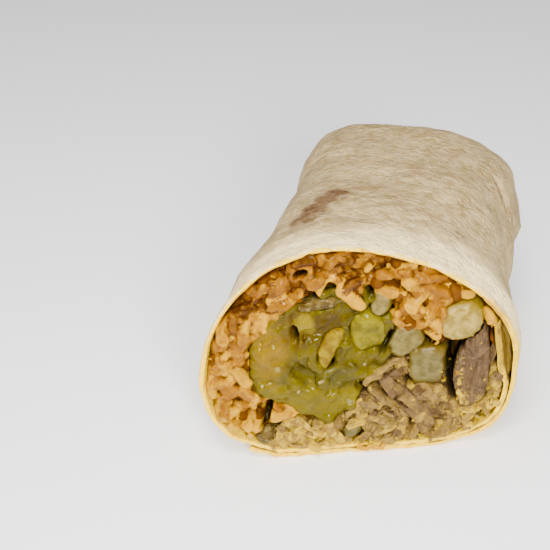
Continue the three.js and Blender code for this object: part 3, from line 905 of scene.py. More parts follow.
def melted(points, faces, voxel, rounds):
    """A fine even skin over shapes, with its edges melted: its points and normals in mm, and its faces."""
    lumpy = bpy.data.meshes.new("lumpy")
    lumpy.from_pydata(in_row(points).tolist(), [], faces)
    shape = bpy.data.objects.new("lumpy", lumpy)
    bpy.context.scene.collection.objects.link(shape)
    remesh = shape.modifiers.new("skin", "REMESH")
    remesh.mode = "VOXEL"
    remesh.voxel_size = voxel * MM
    melt = shape.modifiers.new("melt", "SMOOTH")
    melt.factor = 0.5
    melt.iterations = rounds
    fine = bpy.data.meshes.new_from_object(shape.evaluated_get(bpy.context.evaluated_depsgraph_get()))
    count = len(fine.vertices)
    places, normals = np.empty(count * 3), np.empty(count * 3)
    fine.vertices.foreach_get("co", places)
    fine.vertex_normals.foreach_get("vector", normals)
    skin = [list(face.vertices) for face in fine.polygons]
    bpy.data.objects.remove(shape)
    return places.reshape(-1, 3) / MM - CUT_MIDDLE, normals.reshape(-1, 3), skin


def hollows(points, normals, faces, rounds=9):
    """How far each point of a fine skin lies in a hollow, in mm: below 0 on a bulge."""
    corners = np.array(faces)
    here, near = corners.ravel(), np.roll(corners, -1, axis=1).ravel()
    neighbours = np.bincount(here, minlength=len(points))[:, None]
    even = points
    for _ in range(rounds):
        sums = [np.bincount(here, even[near, k], len(points)) for k in range(3)]
        even = np.stack(sums, axis=-1) / neighbours
    return ((even - points) * normals).sum(axis=1)


def softened(node, name, voxel, rounds, carve, material, slot, bits=None):
    """A fine skin over a solid, with bits melted into it, carved by a function of place."""
    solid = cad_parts[node].data
    points = np.array([v.co for v in solid.vertices]) / MM - CUT_MIDDLE
    faces = [list(face.vertices) for face in solid.polygons]
    if bits:
        faces += [[k + len(points) for k in face] for face in bits.faces]
        points = np.vstack([points, *bits.points])
    points, normals, faces = melted(points, faces, voxel, rounds)
    behind = behind_cut(points)
    carved, tone = carve(points, normals, behind)
    slit = slit_share(carved)
    carved[:, 1] += SLIT_DEPTH * slit * at_front(behind)
    back = behind_cut(carved)
    # Painted shade: far behind the cut, and at the back of a slit, the finish turns black.
    pit = np.maximum(smooth(back, *PIT), slit * smooth(back, *SLIT_PIT))
    numbers = {"deep": depth_share(carved), "pit": pit, "tone": tone}
    return add_piece(name, carved, faces, material, slot, [node], numbers, crisp=180)


# %% Darken the pits
# Painted shade: the black of the pits and slits.
BLACK = (0.0035, 0.0018, 0.0007)


def darkened(place, colour, painted_shade, low, high, share):
    """Painted shade: further behind the cut a piece turns darker, and black in the pits, where hardly any
    light comes back.
    """
    shaded = (place.attribute("deep").ramp(low, high) * share).colours(colour, painted_shade)
    return pitted(place, shaded)


# Painted shade: black where the pit number is high.
def pitted(place, colour):
    return place.attribute("pit").colours(colour, BLACK)


# %% [markdown]
# ## Grains and shreds
# Rice grains, meat shreds, seeds and crumbs are all spindles: rings of points strung along an axis, closed
# at both ends. A profile makes the spindle plump or thin, ridges along it make fibres, and a bend keeps it
# from looking turned on a lathe. A few different spindles are made once, and numpy turns, scales and
# places hundreds of copies in one mesh. Sticky things such as rice are then wrapped in one skin, which
# joins them where they touch and tells the hollows between them, so that those can be darkened as painted
# shade and the bulges paled as painted highlight.


# %% Make spindles
def spindle(rings, sides, power, seed, ridge=0.0, bend=0.1, rough=0.08):
    """Points and faces of a closed spindle along x, one long and one thick. power shapes its ends."""
    draw = np.random.default_rng(seed)
    t = np.linspace(0, math.pi, rings + 2)[1:-1]
    angle = np.linspace(0, 2 * math.pi, sides, endpoint=False) + draw.random() * 6
    radius = 0.5 * np.sin(t)[:, None] ** power
    strands = 1 + ridge * np.sin(angle * draw.integers(3, 6) + draw.random() * 6)[None, :]
    strands = strands + ridge * 0.6 * (draw.random(sides) - 0.5)[None, :]
    ragged = ridge * 0.25 * (draw.random(sides) - 0.5)[None, :] * np.abs(np.cos(t))[:, None]
    x = -0.5 * np.cos(t)[:, None] + ragged
    y = radius * strands * np.cos(angle)
    z = radius * strands * np.sin(angle)
    body = np.stack([x + 0 * y, y, z], axis=-1).reshape(-1, 3)
    points = np.vstack([body, [[-0.5, 0, 0], [0.5, 0, 0]]])
    points[:, 1] += bend * (1 - 4 * points[:, 0] ** 2)
    points[:, 2] += bend * draw.uniform(-1, 1) * np.sin(points[:, 0] * 5)
    points[:, 1:] *= 1 + rough * hills(points * 5, 1.3, seed)[:, None]
    faces = []
    for j in range(rings - 1):
        for i in range(sides):
            n = (i + 1) % sides
            faces.append([j * sides + i, (j + 1) * sides + i, (j + 1) * sides + n, j * sides + n])
    for i in range(sides):
        n = (i + 1) % sides
        faces.append([rings * sides, i, n])
        faces.append([rings * sides + 1, (rings - 1) * sides + n, (rings - 1) * sides + i])
    return points, faces


def turned(angles):
    """Rotation matrices from three angles each: roll, pitch and turn in the plane of the cut."""
    a, b, c = np.asarray(angles).T
    one, nil = np.ones_like(a), np.zeros_like(a)
    roll = [[one, nil, nil], [nil, np.cos(a), -np.sin(a)], [nil, np.sin(a), np.cos(a)]]
    pitch = [[np.cos(b), -np.sin(b), nil], [np.sin(b), np.cos(b), nil], [nil, nil, one]]
    turn = [[np.cos(c), nil, np.sin(c)], [nil, one, nil], [-np.sin(c), nil, np.cos(c)]]
    stack = [np.moveaxis(np.array(m), -1, 0) for m in (turn, pitch, roll)]
    c, s = math.cos(CUT_SLANT), math.sin(CUT_SLANT)
    along_cut = np.array([[c, -s, 0], [s, c, 0], [0, 0, 1]])
    return along_cut @ stack[0] @ stack[1] @ stack[2]


class Scatter:
    """Many turned and scaled copies of a few shapes, gathered into one mesh."""

    def __init__(self, shapes, seed):
        self.shapes = shapes
        self.draw = np.random.default_rng(seed)
        self.points, self.faces, self.tone, self.deep = [], [], [], []
        self.count = 0

    def add(self, middles, sizes, angles, tones):
        spin = turned(angles)
        for middle, size, matrix, tone in zip(middles, sizes, spin, tones):
            points, faces = self.shapes[self.draw.integers(len(self.shapes))]
            placed = (points * size) @ matrix.T + middle
            self.faces += [[k + self.count for k in face] for face in faces]
            self.count += len(points)
            self.points.append(placed)
            self.tone.append(np.full(len(points), tone))
            self.deep.append(depth_share(placed))

    def pressed(self, warps, front=None):
        """All points, pressed out of shape by warps of so many mm across and deep.

        The knife left no copy standing further out than front, in mm behind the cut, give or take."""
        points = np.vstack(self.points)
        if front is not None:
            over = front + 0.8 * hills(points, 4.5, 77) - behind_cut(points)
            points[:, 1] += 0.55 * np.maximum(over, 0)
        for size, amount in warps:
            push = np.stack([hills(points, size, 70 + k) for k in range(3)], axis=-1)
            points = points + amount * push
        slit = slit_share(points)
        points[:, 1] += SLIT_DEPTH * slit
        return points

    def piece(self, name, material, slot, warps=((1.9, 0.3), (0.8, 0.1))):
        """One mesh of separate copies."""
        points = self.pressed(warps)
        numbers = {"tone": np.concatenate(self.tone), "deep": np.concatenate(self.deep)}
        # Painted shade: copies in a slit turn black.
        numbers["pit"] = slit_share(points)
        return add_piece(name, points, self.faces, material, slot, (), numbers)

    def sticky_piece(self, name, material, slot, voxel, rounds, warps, front):
        """One mesh of copies that melt into each other where they touch."""
        loose = self.pressed(warps, front)
        tree = KDTree(len(loose))
        for number, point in enumerate(loose):
            tree.insert(point, number)
        tree.balance()
        points, normals, faces = melted(loose, self.faces, voxel, rounds)
        tone = np.concatenate(self.tone)[[tree.find(point)[1] for point in points]]
        hollow = hollows(points, normals, faces)
        # Painted shade and highlight: hollows get a deeper tone and more of the dark colour, bulges a paler
        # tone.
        tone = tone + 0.35 * smooth(hollow, 0.0, 0.3) - 0.3 * smooth(-hollow, 0.05, 0.35)
        deep = depth_share(points) + 0.45 * smooth(hollow, 0.03, 0.28)
        numbers = {"tone": tone, "deep": deep, "pit": slit_share(points)}
        return add_piece(name, points, faces, material, slot, (), numbers, crisp=180)


# %% [markdown]
# ## Laying things in the cut
# Grains don't lie anyhow: each is as long as its place allows, and none pokes through the tortilla. So
# every copy tries a few angles until both its ends rest on its own solid, and shrinks if none will do.
# Pieces that stand out in a real burrito are laid one by one, by their place, size and angle.


# %% Lay copies in the cut
BARE = ((19.1, 29.6), (19.6, 31.2))
BARE_REACH = 1.7
BARE_SIZE = 0.35


def lay(scatter, node, spacing, sink, lengths, shares, seed, tone_at, lean=None):
    """Covers the places where a node shows, sink mm behind the cut, with only specks where it is bare.

    Shares are width over length."""
    found = places_on(node, spacing, seed)
    draw = np.random.default_rng(seed + 100)
    middles, sizes, angles = [], [], []
    for s, z in found:
        length = draw.uniform(*lengths)
        turn, fit = fitting_angle(node, s, z, length, draw, lean)
        width = length * draw.uniform(*shares) * (0.5 + 0.5 * fit)
        bare = min(math.hypot(s - s_bare, z - z_bare) for s_bare, z_bare in BARE) < BARE_REACH
        grown = np.array((length * fit, width * draw.uniform(0.7, 1.0), width))
        sizes.append(grown * (BARE_SIZE if bare else 1.0))
        middles.append(at_cut(s, z, sink + draw.normal(0, 0.45)))
        angles.append((draw.uniform(0, 6.3), draw.normal(0, 0.4), -turn))
    scatter.add(middles, sizes, angles, tone_at(found[:, 0], found[:, 1], draw))


def lay_one(scatter, s, z, depth, size, angle, tone):
    """One copy at a given place. Size is its length, its thickness into the food and its width; angle in
    degrees.
    """
    scatter.add([at_cut(s, z, depth)], [size], [(0.2, 0.0, -math.radians(angle))], [tone])


# %% [markdown]
# ## Rice
# The rice was cooked in a red sauce until soft, so its grains are plump, moist and orange, no two quite
# alike, and stuck to each other. A core fills the solid's form, set back a little from the cut, painted
# dark as shade for the gaps. Three layers of grains lie on it, each nearer to the cut than the last, then
# bits of broken grain, and a few pale grains laid one by one. One skin melts them together, and the gaps
# between them are painted brown-red as shade.

# %% Finish the rice
RICE_PALE = (0.46, 0.225, 0.0002)
RICE_ORANGE = (0.185, 0.064, 0.0001)
# RICE_DEEP is painted shade, for the hollows between grains and the rice further behind the cut.
RICE_DEEP = (0.042, 0.009, 0.0002)
# The core shows only through the gaps, so its colours are painted shade: dark, and paler on lumps nearer the
# cut.
CORE_DARK = (0.025, 0.0055, 0.0003)
CORE_PALE = (0.09, 0.027, 0.0005)


def rice_colour(place):
    tone = place.attribute("tone") + (place.noise(1.6, detail=5, roughness=0.65) - 0.5) * 1.2
    grain = tone.ramp(0.0, 0.85).colours(RICE_PALE, RICE_ORANGE)
    # A high tone, as in the hollows, turns red-brown: painted shade.
    red = tone.ramp(0.8, 1.4).colours(grain, RICE_DEEP)
    return darkened(place, red, RICE_DEEP, 0.18, 0.78, 0.92)


rice_finish = finish(
    "rice",
    colour=rice_colour,
    rough=patchy(1.5, 0.25, 0.25),
    height=grainy(0.8, 5, 0.65),
    depth=0.28,
    base=flesh(0.25, (1.0, 0.42, 0.06), 0.8) | sheen_of(0.9, (1.0, 0.6, 0.04), 0.1, 0.08),
)


def rice_core_colour(place):
    # Painted shade: the core is dark, and paler where its lumps stand nearer the cut.
    return pitted(place, place.attribute("tone").ramp(0.3, 0.9).colours(CORE_DARK, CORE_PALE))


core_finish = finish(
    "rice_core",
    colour=rice_core_colour,
    rough=patchy(2, 0.2, 0.4),
    height=grainy(1.2, 4),
    depth=0.3,
    base=flesh(0.1, (1.0, 0.4, 0.1), 0.8) | sheen_of(0.6, (1.0, 0.6, 0.1)),
)


# %% Lay the rice
def any_tone(low, high):
    return lambda s, z, draw: draw.uniform(low, high, len(s))


def rice_tone(s, z, draw):
    """Paler down the left side, and darkest orange under the top of the roll."""
    top, left = smooth(z, 36, 50), 1 - smooth(s, -34, -24)
    dim = 0.5 * smooth(z, 34, 42) * (1 - smooth(s, -6, 8))
    return 0.45 + 0.15 * top + dim - 0.05 * left + draw.uniform(-0.42, 0.42, len(s))


def set_back(points, normals, behind, growth, depth):
    """Grows a core by so many mm, and sinks its front below the grains or shreds that lie on it."""
    grown = points + normals * growth
    grown[:, 1] += depth * at_front(behind)
    return grown


def carve_rice(points, normals, behind):
    mush = pebbles(points, 2.7, 30)
    depth = 2.8 + 0.4 * hills(points, 2.6, 31) - 1.2 * mush
    return set_back(points, normals, behind, 0.25, depth), mush


RICE_LAYERS = ((3.3, 2.6, 1), (3.7, 1.4, 2), (4.3, 0.1, 3))
GRAIN_LENGTHS = (4.6, 7.2)
GRAIN_SHARES = (0.44, 0.57)
LONG_GRAIN = (-1.2, 45.0, -1.2, (8.8, 2.8, 3.0), -42, 0.2)
EDGE_GRAINS = ((-20.6, 34.2, 50), (-22.0, 30.4, 80), (-20.8, 27.2, 35))
PALE_GRAINS = ((-8.2, 47.6, 70), (-4.4, 49.2, -20), (-18.2, 45.6, 20), (-25.3, 37.8, 65), (-20.8, 39.2, 80))
HANGING = (
    (2.6, 2.2, 2.2, 1.0, 40),
    (4.0, 1.6, 3.0, 1.3, 5),
    (6.0, 1.8, 3.0, 1.6, -25),
    (8.2, 1.9, 2.4, 1.2, 80),
)
grain_shapes = []
for seed in range(8):
    grain_shapes.append(spindle(13, 14, 0.5, seed, ridge=0.10, bend=0.03 + 0.02 * seed, rough=0.2))
softened("rice", "rice_core", 0.8, 2, carve_rice, core_finish, "rice")
rice = Scatter(grain_shapes, 41)
for spacing, sink, seed in RICE_LAYERS:
    lay(rice, "rice", spacing, sink, GRAIN_LENGTHS, GRAIN_SHARES, seed, rice_tone)
lay(rice, "rice", 4.0, -0.1, (0.9, 2.4), (0.5, 0.9), 7, rice_tone)
lay_one(rice, *LONG_GRAIN)
for s, z, angle in EDGE_GRAINS:
    lay_one(rice, s, z, 0.6, (5.2, 2.6, 2.8), angle, 0.1)
for s, z, length, width, angle in HANGING:
    lay_one(rice, s, z, -0.7, (length, 0.9, width), angle, 0.3)
for s, z, angle in PALE_GRAINS:
    lay_one(rice, s, z, -0.4, (5.0, 2.4, 2.3), angle, 0.22)
RICE_WARPS = ((2.4, 0.35), (1.0, 0.12))
rice.sticky_piece("rice_grains", rice_finish, "rice", 0.3, 1, RICE_WARPS, front=-1.7)

# %% [markdown]
# ## Pulled pork
# Slow-cooked pork pulls apart along its fibres into ragged strips and crumbs. It runs from grey-brown
# through tan to yellow, where sauce soaked in. The strips are ridged spindles, longer and flatter than
# rice, with crumbs between them, over a core carved by lumps. A few larger strips are laid one by one:
# browned ones where the meat meets the salsa, and thin ones at the right.

# %% Finish the pork
PORK_GREY = (0.088, 0.046, 0.018)
PORK_TAN = (0.21, 0.123, 0.023)
PORK_YELLOW = (0.50, 0.31, 0.014)
# PORK_DEEP is painted shade for meat further behind the cut; the chunk's cracks use it too.
PORK_DEEP = (0.014, 0.006, 0.0016)


def pork_colour(place):
    tone = place.attribute("tone") + (place.noise(1.6, detail=5) - 0.5) * 1.2
    brown = tone.ramp(0.0, 0.5).colours(PORK_GREY, PORK_TAN)
    strand = tone.ramp(0.45, 1.0).colours(brown, PORK_YELLOW)
    return darkened(place, strand, PORK_DEEP, 0.12, 0.72, 0.92)


def fibres(place):
    return place.stretched(1.0, 0.5, 2.2).noise(0.8, detail=5, roughness=0.68)


pork_finish = finish(
    "pulled_pork",
    colour=pork_colour,
    rough=patchy(1.5, 0.3, 0.42),
    height=fibres,
    depth=0.45,
    base=flesh(0.1, (1.0, 0.5, 0.3), 0.7) | sheen_of(0.9, (1.0, 0.8, 0.4), 0.04, 0.2),
)


# %% Lay the pork
def pork_tone(s, z, draw):
    """Grey-brown in the middle, yellow towards both sides and the bottom."""
    sides = 0.35 * smooth(s, 20, 29) + 0.4 * (1 - smooth(s, -7, 3)) + 0.2 * (1 - smooth(z, 4, 9))
    return 0.3 + sides + draw.normal(0, 0.2, len(s))


def carve_pork(points, normals, behind):
    crumbly = pebbles(points, 3.4, 33)
    depth = 2.2 + 0.7 * hills(points, 1.8, 32) - 1.3 * crumbly
    tone = pork_tone(points[:, 0], points[:, 2], np.random.default_rng(8)) * 0.6 + 0.3 * crumbly
    return set_back(points, normals, behind, 0.2, depth), tone


PORK_LAYERS = (
    (3.6, 1.9, (4, 8), (0.3, 0.5), 4, pork_tone, 0.5),
    (4.0, 1.0, (3.5, 7), (0.3, 0.5), 5, pork_tone, 2.4),
    (5.2, 0.1, (4, 8), (0.25, 0.45), 9, pork_tone),
    (2.2, 0.6, (1.0, 2.8), (0.4, 0.8), 6, pork_tone),
    (3.4, -0.1, (2.2, 5.0), (0.16, 0.3), 10, any_tone(0.3, 0.95)),
)
LUMPS_IN_CORE = ((8.9, 10.2, 3.2, (13, 7, 11), 20, 0.4), (19.5, 12.5, 3.4, (12, 6, 8), -40, 0.3))
STRIPS = (
    (11.5, 16.9, -0.2, (15.5, 4.5, 4.6), -48, 0.12),
    (14.2, 14.6, -1.0, (8, 3.0, 3.0), -40, 0.3),
    (10.0, 23.6, 0.0, (5.4, 3.5, 3.6), -30, 0.1),
    (6.0, 23.2, -0.2, (9.0, 2.4, 2.5), 41, 0.45),
    (33.4, 26.5, 2.0, (9.0, 2.4, 2.0), 82, 0.2),
    (33.7, 18.5, 1.4, (8.5, 2.4, 2.2), 94, 0.65),
    (25.6, 23.5, 0.6, (3.4, 1.4, 1.3), 75, 0.9),
    (25.2, 19.6, 0.7, (2.8, 1.2, 1.1), 100, 0.95),
    (26.1, 15.6, 0.4, (3.0, 1.4, 1.4), 120, 0.9),
)
shred_shapes = [spindle(13, 14, 0.5, 50 + k, ridge=0.25, bend=0.1, rough=0.35) for k in range(9)]
lump_shapes = [spindle(16, 18, 0.6, 80 + k, ridge=0.15, bend=0.08, rough=0.4) for k in range(4)]
lumps = Scatter(lump_shapes, 52)
for lump in LUMPS_IN_CORE:
    lay_one(lumps, *lump)
softened("pulled_pork", "pork_core", 0.65, 1, carve_pork, pork_finish, "pulled_pork", lumps)
pork = Scatter(shred_shapes, 51)
for layer in PORK_LAYERS:
    lay(pork, "pulled_pork", *layer)
for strip in STRIPS:
    lay_one(pork, *strip)
pork.piece("pork_shreds", pork_finish, "pulled_pork", warps=((2.4, 0.5), (0.9, 0.2)))

# %% [markdown]
# ## Pork chunk
# One whole piece of meat was left in, cut across, with its fibres running up and down.


# %% Carve the chunk
def chunk_colour(place):
    streak = place.stretched(1.3, 0.6, 0.5).noise(2.0, detail=6, roughness=0.7).ramp(0.3, 0.7)
    meat = streak.colours((0.038, 0.018, 0.007), (0.112, 0.062, 0.0235))
    mottled = (place.noise(1.1, detail=4).ramp(0.54, 0.7) * 0.5).colours(meat, (0.18, 0.11, 0.050))
    cracked = (place.stretched(1.0, 0.6, 0.5).veins(3.0, 0.03) * 0.7).colours(mottled, PORK_DEEP)
    edge = near_line(place, (23.4, 8.6, 26), (25.0, 9.2, 13), 1.6)
    crumbed = (edge * place.noise(0.9, detail=3).ramp(0.52, 0.66) * 0.7).colours(cracked, PORK_YELLOW)
    low = height_of(place).ramp(17, 12) * place.noise(1.5).ramp(0.4, 0.6) * 0.6
    return darkened(place, low.colours(crumbed, PORK_YELLOW), PORK_DEEP, 0.35, 0.9, 0.85)


chunk_finish = finish(
    "pork_chunk",
    colour=chunk_colour,
    rough=patchy(2, 0.2, 0.45),
    height=lambda place: place.stretched(2.4, 0.6, 0.35).noise(0.9, detail=4),
    depth=0.6,
    base=flesh(0.08, (1.0, 0.5, 0.3), 0.7) | sheen_of(0.9, (1.0, 0.8, 0.5), 0.04, 0.2),
)


def carve_chunk(points, normals, behind):
    strands = hills(points, np.array([1.3, 5, 6]), 34) * 0.45 + hills(points, 3.2, 35) * 0.55
    strands += 0.25 * hills(points, 1.2, 39) - 0.55 * smooth(-normals[:, 0], 0.1, 0.7)
    return points + normals * strands[:, None], strands


softened("pork_chunk", "pork_chunk_meat", 0.4, 1, carve_chunk, chunk_finish, "pork_chunk")

# %% [markdown]
# ## Potato
# Thick-cut fried potato, cut across: pale yellow and a little see-through, with a slightly darker, firmer
# skin round the edge and a mealy cut face. The one at the top right is drier and whiter than the others.


# %% Carve the potatoes
DRYNESS = {1: 0.77, 2: 0.0, 3: 0.12, 4: 0.2, 5: 0.0}


def between(first, second, share):
    return tuple(a + (b - a) * share for a, b in zip(first, second))


def potato_made(number, dryness):
    """The finish of one piece: moist and see-through, or dry and pale, with a yellow rim."""
    low = between((0.062, 0.044, 0.0050), (0.20, 0.125, 0.008), dryness)
    high = between((0.120, 0.092, 0.022), (0.37, 0.250, 0.045), dryness)
    rim = between((0.080, 0.048, 0.0008), (0.20, 0.125, 0.0010), dryness)

    def colour(place):
        inside = place.noise(1.8, detail=4).ramp(0.35, 0.65).colours(low, high)
        edge = place.attribute("tone") + (place.noise(1.5, detail=3) - 0.5) * 0.5
        edged = (edge.ramp(0.75, 0.3) * 0.85).colours(inside, rim)
        # Behind the cut the rim colour takes over as painted shade, and the pits turn black.
        return darkened(place, edged, rim, 0.2, 0.6, 0.7)

    return finish(
        f"potato_{number}",
        colour=colour,
        rough=patchy(1.5, 0.2, 0.3),
        height=grainy(0.8, 4),
        depth=0.15,
        base=flesh(0.35, (1.0, 0.8, 0.35), 1.4) | sheen_of(0.9, (1.0, 0.9, 0.5), 0.08, 0.2),
    )


def carve_potato(points, normals, behind):
    """Tone is 1 in the middle of the cut face and 0 at its rim."""
    swell = 0.1 + 0.25 * hills(points, 2.6, 36) + 0.14 * hills(points, 1.0, 37)
    front = points[behind < 2][:, [0, 2]]
    low, high = front.min(axis=0), front.max(axis=0)
    off = np.linalg.norm((points[:, [0, 2]] - (low + high) / 2) / (high - low), axis=1) * 2
    tone = 1 - smooth(off + 0.2 * hills(points, 3.0, 47), 0.65, 1.15)
    return points + normals * swell[:, None], tone


for number, dryness in DRYNESS.items():
    skin = potato_made(number, dryness)
    softened(f"potato_{number}", f"potato_piece_{number}", 0.4, 5, carve_potato, skin, "potato")

# %% [markdown]
# ## Green salsa, peppers and onion
# The salsa is wet, olive green and lumpy: cooked green chile and tomatillo, with pale seeds. Its small
# highlights are the brightest thing in the cut, so it gets a thin clear coat with very little roughness,
# over a weak shine in its own colour. Bits are melted into its body by the remesh, and its green changes
# from spot to spot. A bright lump of pepper, a yellow one, and two bits of soft onion lie in it and beside
# it.


# %% Finish the salsa
SALSA_DARK = (0.022, 0.014, 0.0002)
SALSA_GREEN = (0.074, 0.053, 0.0002)
SALSA_BRIGHT = (0.098, 0.070, 0.0000)
SALSA_GREY = (0.048, 0.038, 0.003)
# The next colour is partly brown salsa and partly painted shadow, for a patch at the upper left.
SALSA_BROWN_SHADOW = (0.060, 0.028, 0.0004)
SALSA_TAN = (0.16, 0.085, 0.0008)
SALSA_UMBER = (0.036, 0.017, 0.0003)
SALSA_CREAM = (0.165, 0.115, 0.004)
SALSA_SPOTS = (
    ((-18.2, -6.5, 30.5), (5, 8, 9), 0.8, SALSA_TAN),
    # A brown patch at the upper left: partly the salsa's colour, partly painted shadow.
    ((-12, -4, 37), (6, 8, 7), 0.75, SALSA_BROWN_SHADOW),
    ((-6, -3, 38.5), (4.8, 8, 3.8), 0.85, SALSA_UMBER),
    ((-12.6, -5, 27), (4.5, 8, 3), 0.55, SALSA_DARK),
    ((-3.6, -1.3, 23.3), (6.5, 8, 3.4), 0.85, SALSA_GREY),
    ((4, 1.5, 23.2), (2.4, 6, 2.4), 0.45, SALSA_CREAM),
    ((0, 0, 17), (3.2, 8, 2.6), 0.45, SALSA_CREAM),
    ((-10.6, -4, 38.0), (2.6, 8, 3.2), 0.9, SALSA_CREAM),
)


def wet(weight, scale):
    return flesh(weight, (1.0, 0.85, 0.15), scale) | sheen_of(0.4, (1.0, 0.85, 0.02), 0.14, 0.07)


def salsa_colour(place):
    mix = place.attribute("tone") + (place.noise(4.0, detail=5) - 0.5) * 1.1
    # Low tone, in the hollows, takes the dark olive: painted shade.
    green = mix.ramp(0.1, 0.8).colours(SALSA_DARK, SALSA_GREEN)
    band = near_spot(place, (-11, -4, 17.5), (16, 12, 6.5))
    bright = (band * (place.noise(3).ramp(0.25, 0.5))).colours(green, SALSA_BRIGHT)
    for middle, half, share, tint in SALSA_SPOTS:
        bright = (near_spot(place, middle, half) * share).colours(bright, tint)
    pulp = place.noise(1.5, detail=4).ramp(0.6, 0.72) * 0.6
    return pitted(place, pulp.colours(bright, SALSA_CREAM))


salsa_finish = finish(
    "green_salsa",
    colour=salsa_colour,
    rough=patchy(3, 0.2, 0.2),
    height=lambda place: place.noise(2.4, detail=3) + place.noise(0.9, detail=5, roughness=0.6) * 0.5,
    depth=0.5,
    base=wet(0.25, 1.4),
)


def carve_salsa(points, normals, behind):
    front = 1 - smooth(behind, 3, 9)
    ridges = 1 - np.abs(hills(points, np.array([2.6, 5, 5.0]), 46)) * 2
    lumps = 1.1 * hills(points, 5.0, 38) + 0.6 * hills(points, 2.4, 44) + 0.25 * hills(points, 1.2, 45)
    away = 0.2 + front * (lumps + 0.5 * ridges - 0.2)
    # The tone follows the relief, so the salsa is painted darker in its hollows: painted shade.
    return points + normals * away[:, None], 0.5 + 0.25 * lumps + 0.12 * ridges


BITS_BY_YELLOW = ((-9.3, 31.5, 82), (-3.1, 30.0, 70), (-5.2, 25.6, 30), (-8.8, 26.5, 120))
bit_shapes = [spindle(14, 14, 0.55, 60 + k, ridge=0.1, bend=0.1, rough=0.3) for k in range(5)]
bits = Scatter(bit_shapes, 61)
lay(bits, "green_salsa", 6.4, 1.3, (6, 10), (0.35, 0.5), 62, any_tone(0.2, 0.8))
lay_one(bits, -11.2, 38.0, 0.4, (5.4, 4.0, 4.2), 60, 0.5)
for s, z, angle in BITS_BY_YELLOW:
    lay_one(bits, s, z, 0.2, (6.5, 4.0, 2.2), angle, 0.5)
salsa = softened("green_salsa", "salsa", 0.52, 2, carve_salsa, salsa_finish, "green_salsa", bits)


# %% Finish the peppers and the onion
def veined(dark, pale, size):
    return lambda place: place.noise(size, detail=4).ramp(0.3, 0.7).colours(dark, pale)


def onion_colour(place):
    soft = place.noise(2.0, detail=4).ramp(0.35, 0.65).colours((0.040, 0.019, 0.002), (0.10, 0.062, 0.014))
    return (place.noise(1.4, detail=3).ramp(0.52, 0.66) * 0.8).colours(soft, (0.19, 0.145, 0.045))


green_finish = finish(
    "green_pepper",
    colour=veined((0.075, 0.054, 0.0001), (0.165, 0.132, 0.0002), 2.5),
    rough=patchy(2, 0.2, 0.1),
    height=grainy(1.2, 4),
    depth=0.2,
    base=wet(0.4, 1.8),
)
yellow_finish = finish(
    "yellow_pepper",
    colour=veined((0.103, 0.053, 0.0001), (0.215, 0.147, 0.0002), 2.0),
    rough=patchy(2, 0.2, 0.12),
    height=grainy(1.1, 4),
    depth=0.2,
    base=wet(0.4, 1.5),
)
onion_finish = finish(
    "onion",
    colour=onion_colour,
    rough=patchy(2, 0.2, 0.15),
    height=lambda place: place.stretched(1.5, 1.0, 0.4).noise(1.0, detail=3),
    depth=0.15,
    base=wet(0.4, 1.5),
)


def carve_wedge(points, normals, behind):
    """Wide above and narrow below, as the yellow piece is, and a little proud of the salsa."""
    middle = np.array([-6 * math.cos(CUT_SLANT), 0, 31.2])
    wide = np.clip(1 + 0.10 * (points[:, 2] - middle[2]), 0.35, 1.5)
    points[:, 0] = middle[0] + (points[:, 0] - middle[0]) * wide
    points[:, 1] -= 0.5
    return carve_soft(points, normals, behind)


def carve_soft(points, normals, behind):
    swell = 0.2 + 0.35 * hills(points, 3.4, 42) + 0.15 * hills(points, 1.1, 43)
    return points + normals * swell[:, None], swell


softened("green_pepper", "green_pepper_flesh", 0.4, 5, carve_soft, green_finish, "green_pepper")
softened("yellow_pepper", "yellow_pepper_flesh", 0.4, 4, carve_wedge, yellow_finish, "yellow_pepper")
softened("onion_strip", "onion_strip_flesh", 0.35, 3, carve_soft, onion_finish, "onion")
softened("onion_bit", "onion_bit_flesh", 0.35, 3, carve_soft, onion_finish, "onion")

# %% [markdown]
# ## Seeds
# A tomatillo has small pale flat seeds. A ray sent at the finished salsa finds its surface, and each seed
# is pressed a little way into it.


# %% Press in the seeds
seed_finish = finish(
    "tomatillo_seed",
    colour=veined((0.15, 0.11, 0.02), (0.24, 0.19, 0.06), 1.0),
    rough=patchy(1, 0.2, 0.2),
    height=grainy(0.4),
    depth=0.05,
    base=wet(0.3, 0.6),
)
SEED_PLACES = ((-17.5, 27, 1.6), (-7, 23.5, 1.4), (2.8, 26.6, 0.9), (-12.4, 20.8, 1.0), (-19.4, 23, 1.0))
salsa_tree, _ = surface_of([salsa])
seeds = Scatter([spindle(8, 12, 0.5, 90)], 91)
seed_draw = np.random.default_rng(92)
for s, z, size in SEED_PLACES:
    depth = first_hit(salsa_tree, s, z)[1] - 0.1
    lay_one(seeds, s, z, depth, (size, size * 0.45, size * 0.8), seed_draw.uniform(0, 180), 0.5)
seeds.piece("salsa_seeds", seed_finish, "green_salsa", warps=())

# %% [markdown]
# ## Shade in the pocket
# The flap stands off the layer outside it, and the narrow pocket between them is filled with brown glossy
# pieces, painted shade for its depth. They lie a few millimetres behind the cut.

